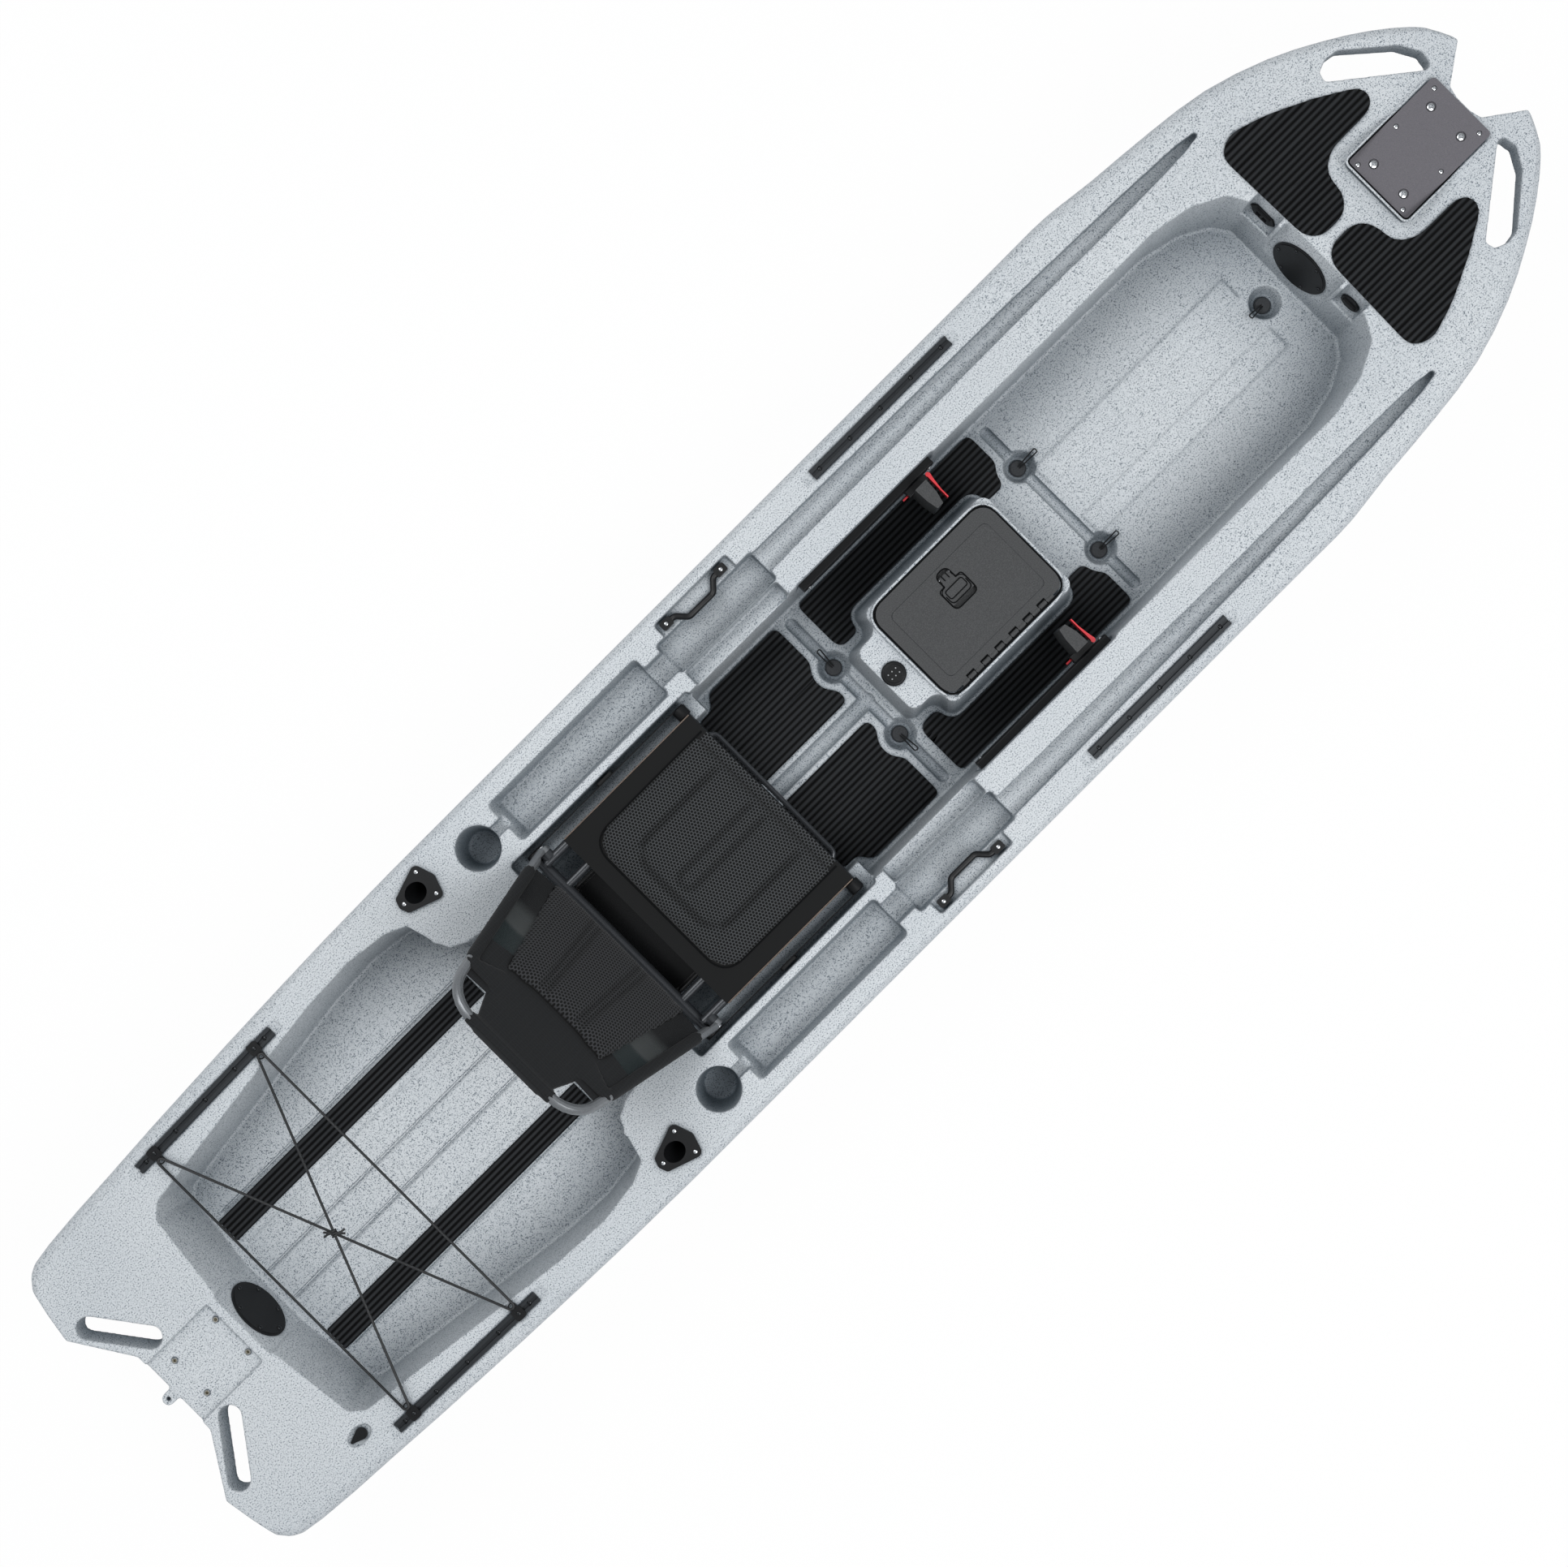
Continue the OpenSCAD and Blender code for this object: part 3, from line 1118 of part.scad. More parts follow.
module release_lever_port() {
    z_mid = rail_z0 + rail_h / 2;
    color("#D8303A") {
        translate([lever_x, lever_y, z_mid - 12]) linear_extrude(24) {
            circle(5);
            offset(0.8, $fn = 20) offset(-0.8)
                polygon([[-3.5, 0], [6, 0], [2, -20], [-1, -44], [-1, -66], [-4, -66], [-4, -44],
                    [-3.5, -20]]);
        }
        translate([pedal_x - carriage_l / 2 - 12, lever_y - 4, rail_z0 - 7]) cube([carriage_l + 20, 4, 6]);
        translate([lever_x - 4, lever_y - 4, rail_z0 - 7]) cube([7, 8, 16]);
    }
}
module release_lever_starboard() { mirror([0, 1, 0]) release_lever_port(); }

// Scupper plugs: a tapered stem under a flat head, with a pull loop that stands up at an angle
loop_climb = 40;
module scupper_plug(i) {
    s = SCUPPERS[i];
    z = cockpit_floor_z(s[0]) - well_depth + seat_gap;
    a = loop_l / 2;
    color("#3A3C3E") translate([s[0], s[1], z]) {
        rotate_extrude() polygon([[0, -24], [scupper_r - 3, -24], [scupper_r - 0.3, 0], [plug_r, 0],
            [plug_r, 5], [plug_r - 3, 8], [0, 9]]);
        rotate([0, 0, LOOP_TURNS[i]]) translate([0, 0, 6]) rotate([0, -loop_climb, 0])
            bent_bar([[0, 2], [loop_l, 5], [loop_l, -5], [0, -2]], 4.5, 2 * loop_cord_r, 4, 8);
    }
}
module scupper_plug_aft_port() { scupper_plug(0); }
module scupper_plug_aft_starboard() { scupper_plug(1); }
module scupper_plug_fwd_port() { scupper_plug(2); }
module scupper_plug_fwd_starboard() { scupper_plug(3); }
module scupper_plug_bow() { scupper_plug(4); }

// Seat frame: two crossbars, two runners and two side rails that carry the hinge ears
foot_d = bar_d + 8;
seat_axis_z = ledge_z + foot_d / 2 + seat_gap;
seat_rear_x = seat_front_x - seat_l;
rail_top_z = seat_axis_z + bar_d / 2 + tube_d / 2 + 4;
back_x = seat_rear_x + 24;
bar_hw = ledge_hw - 14;
runner_y = 175;
ear_r = 14;
ear_y = [rail_y + 2, rail_y + 16.5];
bolt_r = 4;
// The thin tube that bows out in front of the front crossbar
bow_tube_d = 12;
bow_tube_hw = 178;
bow_tube_out = 21;
module bar_along_y(x, z, hw, d) {
    translate([x, -hw, z]) rotate([-90, 0, 0]) cylinder(2 * hw, d / 2, d / 2);
}
module bar_along_x(x0, x1, y, z, d) {
    translate([x0, y, z]) rotate([0, 90, 0]) cylinder(x1 - x0, d / 2, d / 2);
}
module seat_frame() {
    color("#2A2C2E") difference() {
        union() {
            for (x = [seat_front_x, seat_rear_x]) bar_along_y(x, seat_axis_z, bar_hw - 2, bar_d);
            both_sides() {
                bar_along_x(seat_rear_x, seat_front_x, runner_y, seat_axis_z, tube_d);
                bar_along_x(seat_rear_x + 8, seat_front_x - 12, rail_y, rail_top_z, tube_d);
                for (x = [seat_front_x - 16, seat_rear_x + 2])
                    translate([x, rail_y - 4, seat_axis_z]) cube([14, 8, rail_top_z - seat_axis_z]);
                bar_y([back_x, ear_y[0], rail_top_z], ear_y[1] - ear_y[0], ear_r);
            }
            translate([seat_front_x, 0, seat_axis_z])
                bent_bar([[0, bow_tube_hw + 16], [bow_tube_out, bow_tube_hw], [bow_tube_out, -bow_tube_hw],
                    [0, -bow_tube_hw - 16]], 14, bow_tube_d);
        }
        both_sides() bar_y([back_x, rail_y - 30, rail_top_z], 60, bolt_r);
    }
}
module seat_feet() {
    color("#17181A") both_sides() for (x = [seat_front_x, seat_rear_x])
        translate([x, bar_hw - 24, seat_axis_z]) rotate([-90, 0, 0]) difference() {
            cylinder(24, foot_d / 2, foot_d / 2);
            translate([0, 0, -1]) cylinder(23, bar_d / 2, bar_d / 2);
        }
}
fabric_x1 = seat_front_x + 10;
fabric_z = rail_top_z + tube_d / 2 + seat_gap;
module seat_fabric() {
    color("#1E2021") translate([0, 0, fabric_z]) linear_extrude(fabric_t)
        block2d(fabric_x1 - fabric_l, fabric_x1, -rail_y - 8, rail_y + 8, 6);
}

// A soft pad as a grid of heights over an outline, [u, v] running from -1 to 1
function bulge(u, v) = sqrt(max(0, 1 - pow(abs(u), 6))) * sqrt(max(0, 1 - pow(abs(v), 6)));
function dent(d, w) = exp(-d * d / (w * w));
module soft_pad(nu, nv, place, height) {
    top = [for (i = [0:nu]) for (j = [0:nv]) let (u = 2 * i / nu - 1, v = 2 * j / nv - 1, p = place(u, v))
        [p[0], p[1], height(u, v)]];
    base = [for (i = [0:nu]) for (j = [0:nv]) let (p = place(2 * i / nu - 1, 2 * j / nv - 1)) [p[0], p[1], 0]];
    n = (nu + 1) * (nv + 1);
    w = nv + 1;
    rim = concat([for (j = [0:nv - 1]) j], [for (i = [0:nu - 1]) i * w + nv], [for (j = [nv:-1:1]) nu * w + j],
        [for (i = [nu:-1:1]) i * w]);
    m = len(rim);
    mid = place(0, 0);
    polyhedron(concat(top, [for (k = rim) base[k]], [[mid[0], mid[1], 0]]),
        concat([for (i = [0:nu - 1]) for (j = [0:nv - 1]) for (f = [0, 1]) let (a = i * w + j)
            f == 0 ? [a, a + 1, a + w + 1] : [a, a + w + 1, a + w]],
            [for (k = [0:m - 1]) for (f = [0, 1]) let (next = (k + 1) % m)
                f == 0 ? [rim[k], n + k, n + next] : [rim[k], n + next, rim[next]]],
            [for (k = [0:m - 1]) [n + (k + 1) % m, n + k, n + m]]), convexity = 4);
}
seat_pad_x = [fabric_x1 - fabric_l + 39, fabric_x1 - 23];
seat_pad_hw = 203;
pad_corner_r = 56;
// Half width of the seat's pad: its two rear corners are round
function seat_pad_edge(x) = let (d = min(pad_corner_r, x - seat_pad_x[0]))
    seat_pad_hw - pad_corner_r + sqrt(d * (2 * pad_corner_r - d));
function u_groove(x, y) = let (d = abs(abs(y) - 125), e = abs(x - seat_pad_x[0] - 46))
    max(x > seat_pad_x[0] + 46 ? dent(d, 7) : 0, abs(y) < 125 ? dent(e, 7) : 0,
        x > seat_pad_x[0] + 73 ? dent(abs(abs(y) - 20), 6) : 0);
module seat_pad() {
    color("#3A3C3E") translate([0, 0, fabric_z + fabric_t + seat_gap]) soft_pad(30, 32,
        function (u, v) let (x = blend(seat_pad_x[0], seat_pad_x[1], (u + 1) / 2)) [x, v * seat_pad_edge(x)],
        function (u, v) let (x = blend(seat_pad_x[0], seat_pad_x[1], (u + 1) / 2), y = v * seat_pad_edge(x))
            2 + (seat_pad_t - 2) * bulge(u, v) * (1 - 0.4 * u_groove(x, y)));
}
module seat_straps() {
    y = bar_hw + seat_gap;
    color("#141516") both_sides() translate([seat_rear_x - 14, y, seat_axis_z - 12.5])
        cube([seat_l + 28, 1.5, 25]);
}
module strap_buckles() {
    y = bar_hw + seat_gap + 1.5;
    color("#1B1C1D") both_sides() translate([seat_rear_x + 224, y, seat_axis_z]) rotate([-90, 0, 0])
        linear_extrude(7) block2d(-22, 22, -15, 15, 5);
}

// Backrest, built in its own plane: Y across, Z up along the back, then leaned
leg_y = rail_y + 24;
module in_back() {
    translate([back_x, 0, rail_top_z]) rotate([0, -recline, 0]) children();
}
back_bend = 80;
BACK_PATH = [[leg_y, 8], [back_top_hw, back_h], [-back_top_hw, back_h], [-leg_y, 8]];
leg_eye_y = [rail_y + 17, rail_y + 29];
module back_frame() {
    color("#6F7275") difference() {
        union() {
            in_back() rotate([90, 0, 90]) bent_bar(BACK_PATH, back_bend, 22);
            both_sides() translate([back_x, leg_eye_y[0], rail_top_z]) rotate([-90, 0, 0])
                cylinder(leg_eye_y[1] - leg_eye_y[0], 13, 13);
        }
        both_sides() {
            bar_y([back_x, rail_y - 30, rail_top_z], 80, bolt_r + pin_gap);
            translate([back_x - 30, rail_y - 30, rail_top_z - 30]) cube([60, 47, 60]);
        }
    }
}
module hinge_bolts() {
    color("#B9BCBE") both_sides() translate([back_x, ear_y[0] + 1, rail_top_z]) rotate([-90, 0, 0]) {
        cylinder(leg_eye_y[1] - ear_y[0], bolt_r - pin_gap, bolt_r - pin_gap);
        translate([0, 0, leg_eye_y[1] + 0.5 - ear_y[0] - 1]) cylinder(4, 7, 7);
    }
}
sleeve_d = 29;
// Fabric wrapped round the frame's tube, from one stop of its centre line to the next
module sleeve(stops) {
    rotate([90, 0, 90]) for (i = [0:len(stops) - 2]) hull() for (q = [stops[i], stops[i + 1]])
        translate([q[0][0], q[0][1], 0]) sphere(sleeve_d / 2, $fn = 12);
}
module back_cover() {
    stops = bar_stops(BACK_PATH, back_bend, 6);
    n = len(stops);
    leg = stops[0][0];
    knee = stops[1][0];
    color("#1B1D1E") in_back() difference() {
        union() {
            both_sides() sleeve([[blend(leg, knee, 0.16), 0], [blend(leg, knee, 0.5), 0],
                [knee - 50 * unit(knee - leg), 0]]);
            sleeve([for (i = [7:n - 8]) stops[i]]);
            rotate([90, 0, 90]) hull() {
                translate([0, 0, -8]) linear_extrude(12) yoke_outline();
                translate([0, 0, -11]) linear_extrude(22) intersection() {
                    yoke_outline();
                    translate([-300, back_h - 60]) square([600, 90]);
                }
            }
            rotate([90, 0, 90]) both_sides_2d() hull() {
                translate([knee[0] + 4, knee[1] - 30, -12]) cylinder(24, 12, 12, $fn = 16);
                translate([120, back_h - 96, -9]) cylinder(18, 14, 14, $fn = 16);
                translate([100, back_h - 150, -6]) cylinder(9, 10, 10, $fn = 16);
            }
        }
        rotate([90, 0, 90]) bent_bar(BACK_PATH, back_bend, 22 + 2 * seat_gap);
    }
}
module both_sides_2d() {
    children();
    mirror([1, 0, 0]) children();
}
module yoke_outline() {
    half = [[92, back_h + 13], [96, back_h - 60], [128, back_h - 78], [134, back_h - 140], [112, back_h - 160],
        [60, back_h - 188], [0, back_h - 198]];
    polygon(concat(half, [for (i = [len(half) - 1:-1:0]) [-half[i].x, half[i].y]]));
}
back_pad_s = [46, back_h - 150];
back_pad_hw = [194, 134];
module back_pad() {
    color("#303234") in_back() translate([6, 0, 0]) rotate([90, 0, 90]) soft_pad(30, 22,
        function (u, v) let (s = blend(back_pad_s[0], back_pad_s[1], (v + 1) / 2))
            [u * blend(back_pad_hw[0], back_pad_hw[1], (v + 1) / 2), s - 12 * (1 - u * u) * max(0, v)],
        function (u, v) 2 + (back_pad_t - 2) * bulge(u, v)
            * (1 - 0.35 * max(dent(abs(abs(u) - 0.36), 0.05), dent(abs(abs(u) - 0.8), 0.05))));
}
module back_mesh() {
    color("#4A5658") in_back() both_sides() translate([2, 0, 0]) rotate([90, 0, 90]) linear_extrude(1.5)
        polygon([[196, 60], [236, 66], [185, back_h - 130], [140, back_h - 156]]);
}

// Open bin that slides forward from under the seat
bin_x = seat_rear_x - 16;
module under_seat_bin() {
    color("#1A1B1C") translate([bin_x, 0, bay_z + seat_gap]) difference() {
        union() {
            linear_extrude(bin_h) block2d(0, bin_l, -bin_w / 2, bin_w / 2, 20);
            translate([0, 0, bin_h - 5]) linear_extrude(5)
                block2d(-4, bin_l + 4, -bin_w / 2 - 4, bin_w / 2 + 4, 24);
        }
        translate([0, 0, bin_wall]) linear_extrude(bin_h) block2d(bin_wall, bin_l - bin_wall,
            bin_wall - bin_w / 2, bin_w / 2 - bin_wall, 20 - bin_wall);
    }
}

hull_moulding();
bow_plate();
bow_plate_screws();
bow_pad_port();
bow_pad_starboard();
bow_oval_plate();
stern_oval_plate();
oval_plate_screws();
power_port();
bow_wall_plug();
aft_floor_pad_port();
aft_floor_pad_starboard();
side_floor_pad_port();
side_floor_pad_starboard();
tankwell_strip_port();
tankwell_strip_starboard();
hatch_frame();
hatch_gasket();
hatch_hinge_pin();
hatch_lid();
latch_paddle();
latch_pin();
stern_track_port();
stern_track_starboard();
bow_track_port();
bow_track_starboard();
pan_head_screws();
bungee_anchors();
bungee_cord();
bungee_knot();
rod_holder_port();
rod_holder_starboard();
foot_rail_port();
foot_rail_starboard();
foot_pedal_port();
foot_pedal_starboard();
release_lever_port();
release_lever_starboard();
carry_handle_port();
carry_handle_starboard();
stern_inserts();
drain_plug();
control_pad();
scupper_plug_aft_port();
scupper_plug_aft_starboard();
scupper_plug_fwd_port();
scupper_plug_fwd_starboard();
scupper_plug_bow();
seat_frame();
seat_feet();
seat_fabric();
seat_pad();
seat_straps();
strap_buckles();
hinge_bolts();
back_frame();
back_cover();
back_pad();
back_mesh();
under_seat_bin();
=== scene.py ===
# %% [markdown]
# # A sit-on-top fishing kayak
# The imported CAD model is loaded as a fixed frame. Hard parts keep their shape and get a finish, and the soft
# parts, the hull's skin and the fine fittings are made here, in metres, in the same place as the CAD.

# %% Frame
import json
import math

import bmesh
import bpy
import numpy as np
from mathutils import Matrix, Vector

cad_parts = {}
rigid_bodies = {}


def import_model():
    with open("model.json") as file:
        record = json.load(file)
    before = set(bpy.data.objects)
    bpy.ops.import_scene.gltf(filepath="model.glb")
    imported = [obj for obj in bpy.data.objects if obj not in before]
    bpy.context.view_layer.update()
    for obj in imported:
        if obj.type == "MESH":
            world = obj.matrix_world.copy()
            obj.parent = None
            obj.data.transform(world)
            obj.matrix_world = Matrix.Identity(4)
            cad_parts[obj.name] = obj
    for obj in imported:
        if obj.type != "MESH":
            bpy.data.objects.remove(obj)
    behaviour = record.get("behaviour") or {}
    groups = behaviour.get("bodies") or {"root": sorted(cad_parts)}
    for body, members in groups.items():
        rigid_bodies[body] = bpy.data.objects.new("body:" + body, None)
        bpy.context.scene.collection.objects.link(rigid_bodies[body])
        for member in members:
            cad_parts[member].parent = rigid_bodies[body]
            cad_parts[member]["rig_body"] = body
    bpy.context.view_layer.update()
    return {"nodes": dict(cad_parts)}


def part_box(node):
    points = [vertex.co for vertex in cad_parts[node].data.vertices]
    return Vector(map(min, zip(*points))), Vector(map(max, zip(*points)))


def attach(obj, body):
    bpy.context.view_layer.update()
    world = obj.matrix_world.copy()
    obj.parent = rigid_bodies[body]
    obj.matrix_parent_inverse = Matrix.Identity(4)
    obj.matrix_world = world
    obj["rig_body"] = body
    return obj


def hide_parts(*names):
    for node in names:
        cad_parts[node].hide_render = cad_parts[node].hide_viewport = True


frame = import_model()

MM = 0.001
SIDES = {"port": 1, "starboard": -1}

# %% [markdown]
# ## Camera
# The photograph looks straight down from about 4.95 m over the ground, and the bow points to the picture's
# upper right corner. Turning the camera by 45 degrees about the vertical puts it there, with no shift.

# %% Camera
CAMERA_AT = (-0.0894, 0.0, 4.95)
FOCAL_MM = 49.4


def linked(name, data):
    """A new object in the scene that holds the data."""
    obj = bpy.data.objects.new(name, data)
    bpy.context.scene.collection.objects.link(obj)
    return obj


camera_data = bpy.data.cameras.new("photo_camera")
camera_data.lens = FOCAL_MM
camera_data.sensor_width = 36
camera_data.clip_end = 100
camera = linked("photo_camera", camera_data)
camera.location = CAMERA_AT
camera.rotation_euler = (0, 0, math.radians(-45))
bpy.context.scene.camera = camera
print("camera at", CAMERA_AT)

# %% [markdown]
# ## Colours and nodes
# Colours are written as they look on a screen, in hex, and one function turns them to linear light. One more
# adds a shader node with its settings and links, and the rest are short names for what the finishes share.


# %% Colour and node helpers
def linear(hex_colour):
    channels = [int(hex_colour[i:i + 2], 16) / 255 for i in (1, 3, 5)]
    return tuple(c / 12.92 if c <= 0.04045 else ((c + 0.055) / 1.055) ** 2.4 for c in channels) + (1.0,)


def add(tree, kind, sets=None, **inputs):
    """Adds a node. sets holds its own settings; each input is a value, or another node's output to link."""
    node = tree.nodes.new(kind)
    for name, value in (sets or {}).items():
        setattr(node, name, value)
    for key, value in inputs.items():
        index = int(key[1:]) if key[0] == "i" and key[1:].isdigit() else None
        socket = node.inputs[index] if index is not None else node.inputs[key.replace("_", " ")]
        if isinstance(value, bpy.types.NodeSocket):
            tree.links.new(value, socket)
        else:
            socket.default_value = value
    return node


def finish(name, colour, roughness, metallic=0.0, specular=0.5, **shader):
    """A material with one Principled shader, and its tree and shader for what is added to it."""
    material = bpy.data.materials.new(name)
    material.use_nodes = True
    tree = material.node_tree
    surface = tree.nodes["Principled BSDF"]
    settings = {"Base Color": linear(colour), "Roughness": roughness, "Metallic": metallic,
                "Specular IOR Level": specular}
    settings.update({key.replace("_", " "): value for key, value in shader.items()})
    for key, value in settings.items():
        surface.inputs[key].default_value = value
    return material, tree, surface


def ramp_of(tree, factor, stops):
    """A colour ramp whose stops are (place, hex colour)."""
    ramp = add(tree, "ShaderNodeValToRGB", Fac=factor)
    elements = ramp.color_ramp.elements
    while len(elements) < len(stops):
        elements.new(0.5)
    for element, (place, colour) in zip(elements, stops):
        element.position = place
        element.color = linear(colour)
    return ramp.outputs["Color"]


def on_object(tree):
    """The place of the shaded point, in the object's own metres."""
    return add(tree, "ShaderNodeTexCoord").outputs["Object"]


def maths(tree, operation, *values):
    """The result of a math node. Each value is a number, or an output to link."""
    inputs = {f"i{index}": value for index, value in enumerate(values)}
    return add(tree, "ShaderNodeMath", {"operation": operation}, **inputs).outputs[0]


def along_way(tree, where, direction):
    """How far a place lies along a direction."""
    dot = add(tree, "ShaderNodeVectorMath", {"operation": "DOT_PRODUCT"}, i0=where, i1=direction)
    return dot.outputs["Value"]


def grains(tree, where, size_mm, detail=2.0, roughness=0.5):
    """Noise whose grains are about size_mm wide."""
    return add(tree, "ShaderNodeTexNoise", Vector=where, Scale=1 / (size_mm * MM), Detail=detail,
               Roughness=roughness).outputs["Fac"]


def share(tree, value, low, high):
    """0 where the value is low, 1 where it is high, and a straight line between them."""
    return add(tree, "ShaderNodeMapRange", i0=value, i1=low, i2=high, i3=0.0, i4=1.0).outputs[0]


def times(tree, tones, shade):
    """One colour multiplied by another."""
    return add(tree, "ShaderNodeMix", {"data_type": "RGBA", "blend_type": "MULTIPLY"}, i0=1.0, i6=tones,
               i7=shade).outputs[2]


def paint(tree, surface, tones):
    tree.links.new(tones, surface.inputs["Base Color"])


def painted_hollow_shade(tree, surface, tones, reach_mm, darkest, lowest=0.2):
    """Painted shade: ambient occlusion darkens a colour where the surface lies in a hollow or a crease no
    wider than about reach_mm.
    """
    open_sky = add(tree, "ShaderNodeAmbientOcclusion", {"samples": 6}, Distance=reach_mm * MM)
    shade = ramp_of(tree, open_sky.outputs["AO"], [(lowest, darkest), (0.97, "#FFFFFF")])
    paint(tree, surface, times(tree, tones, shade))


def bump_from(tree, surface, height, depth_mm, strength):
    bump = add(tree, "ShaderNodeBump", Height=height, Distance=depth_mm * MM, Strength=strength)
    tree.links.new(bump.outputs["Normal"], surface.inputs["Normal"])


# %% [markdown]
# ## Studio
# A pale floor and two broad soft lights, one on each side of the hull, so high and so far out that no flat
# top mirrors them into the camera. The floor shows white to the camera through its colour, and the lamps stay
# at a level at which a colour renders about as it is written.

# %% Floor, lights and world
bpy.context.scene.view_settings.view_transform = "Standard"
WHITE = (1, 1, 1, 1)
FLOOR_WHITE = 0.97
LAMP_SIZE, LAMP_TARGET = 3.6, Vector((0, 0, 0.2))


def show(tree, rays, plain, shown, output):
    """Shows one shader to the given share of rays and the plain one to the rest."""
    mixed = add(tree, "ShaderNodeMixShader", i0=rays, i1=plain.outputs[0], i2=shown.outputs[0])
    tree.links.new(mixed.outputs[0], tree.nodes[output].inputs["Surface"])


floor_material, tree, floor_surface = finish("studio_floor", "#E6E7E8", 0.9)
rays = add(tree, "ShaderNodeLightPath").outputs
glow = add(tree, "ShaderNodeEmission", Color=WHITE, Strength=1.0)
seen = maths(tree, "MULTIPLY", rays["Is Camera Ray"], FLOOR_WHITE)
show(tree, seen, floor_surface, glow, "Material Output")
bpy.ops.mesh.primitive_plane_add(size=60, location=(0, 0, -0.002))
floor = bpy.context.active_object
floor.name = "studio_floor"
floor.data.materials.append(floor_material)

world = bpy.data.worlds.new("studio_world")
bpy.context.scene.world = world
world.use_nodes = True
tree = world.node_tree
ambient = tree.nodes["Background"]
ambient.inputs["Color"].default_value = linear("#E4E7EA")
ambient.inputs["Strength"].default_value = 0.58
white_view = add(tree, "ShaderNodeBackground", Color=WHITE, Strength=1.0)
rays = add(tree, "ShaderNodeLightPath").outputs
seen = maths(tree, "MAXIMUM", rays["Is Camera Ray"], rays["Is Transmission Ray"])
show(tree, seen, ambient, white_view, "World Output")


def soft_lamp(name, at, watts):
    lamp = bpy.data.lights.new(name, "AREA")
    lamp.shape = "SQUARE"
    lamp.size = LAMP_SIZE
    lamp.energy = watts
    holder = linked(name, lamp)
    holder.location = at
    holder.rotation_euler = (LAMP_TARGET - Vector(at)).to_track_quat("-Z", "Y").to_euler()


soft_lamp("starboard_light", (0.8, -3.5, 5.8), 234)
soft_lamp("port_light", (-0.8, 3.5, 5.8), 176)
print("studio ready")

# %% [markdown]
# ## Mesh helpers
# The imported solids are loose triangles. A copy of one is welded and its flat faces are joined, and then its
# edges can be eased with a bevel, as a mould or a deburring tool leaves them. Every finished piece is placed
# through one function, which shades it, hands it to its body and hides the solids that it stands for.

# %% Welded copies, eased edges and placing
WELD = 0.00002


def mesh_of(work, name):
    """The mesh that a bmesh holds."""
    mesh = bpy.data.meshes.new(name)
    work.to_mesh(mesh)
    work.free()
    return mesh


def drawn(name, vertices, edges=(), faces=()):
    """A mesh from lists of places and of the places' numbers."""
    mesh = bpy.data.meshes.new(name)
    mesh.from_pydata([tuple(at) for at in vertices], edges, faces)
    return mesh


def welded(node, flat_angle=1.0):
    """A welded copy of a solid, with faces joined whose directions differ by less than flat_angle degrees."""
    work = bmesh.new()
    work.from_mesh(frame["nodes"][node].data)
    bmesh.ops.remove_doubles(work, verts=work.verts, dist=WELD)
    if flat_angle:
        limit = math.radians(flat_angle)
        bmesh.ops.dissolve_limit(work, angle_limit=limit, verts=work.verts, edges=work.edges)
    return mesh_of(work, node + "_copy")


def evaluated(obj):
    """The object's mesh with its modifiers in it; the object itself is removed."""
    graph = bpy.context.evaluated_depsgraph_get()
    mesh = bpy.data.meshes.new_from_object(obj.evaluated_get(graph), depsgraph=graph)
    bpy.data.objects.remove(obj)
    return mesh


def shaded(mesh, sharp):
    mesh.shade_smooth()
    if sharp:
        mesh.set_sharp_from_angle(angle=math.radians(sharp))
    return mesh


def place(name, mesh, body, material, slot, nodes=(), sharp=35):
    """Puts a piece in the scene. With sharp None, its shading stays as it is; with 0, all of it is smooth."""
    if sharp is not None:
        shaded(mesh, sharp)
    if material:
        mesh.materials.clear()
        mesh.materials.append(material)
    obj = linked(name, mesh)
    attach(obj, body)
    if nodes:
        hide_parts(*nodes)
    return obj


def coordinates(mesh):
    return np.array([v.co for v in mesh.vertices], float)


def set_coordinates(mesh, points):
    mesh.vertices.foreach_set("co", np.asarray(points, np.float32).ravel())
    mesh.update()


def eased(mesh, width_mm):
    """The mesh with rounded edges. Weighted normals keep its flat faces flat to the light."""
    obj = linked("easing", shaded(mesh, 0))
    bevel = obj.modifiers.new("bevel", "BEVEL")
    bevel.width = width_mm * MM
    bevel.segments = 2
    bevel.limit_method = "ANGLE"
    bevel.angle_limit = math.radians(30)
    obj.modifiers.new("flat", "WEIGHTED_NORMAL").weight = 60
    return evaluated(obj)


BODY_OF = {node: obj["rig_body"] for node, obj in frame["nodes"].items()}


def soften(node, width_mm, material, slot):
    """The node again with its edges eased, in its final finish."""
    mesh = eased(welded(node), width_mm)
    return place(node + "_eased", mesh, BODY_OF[node], material, slot, [node], sharp=None)
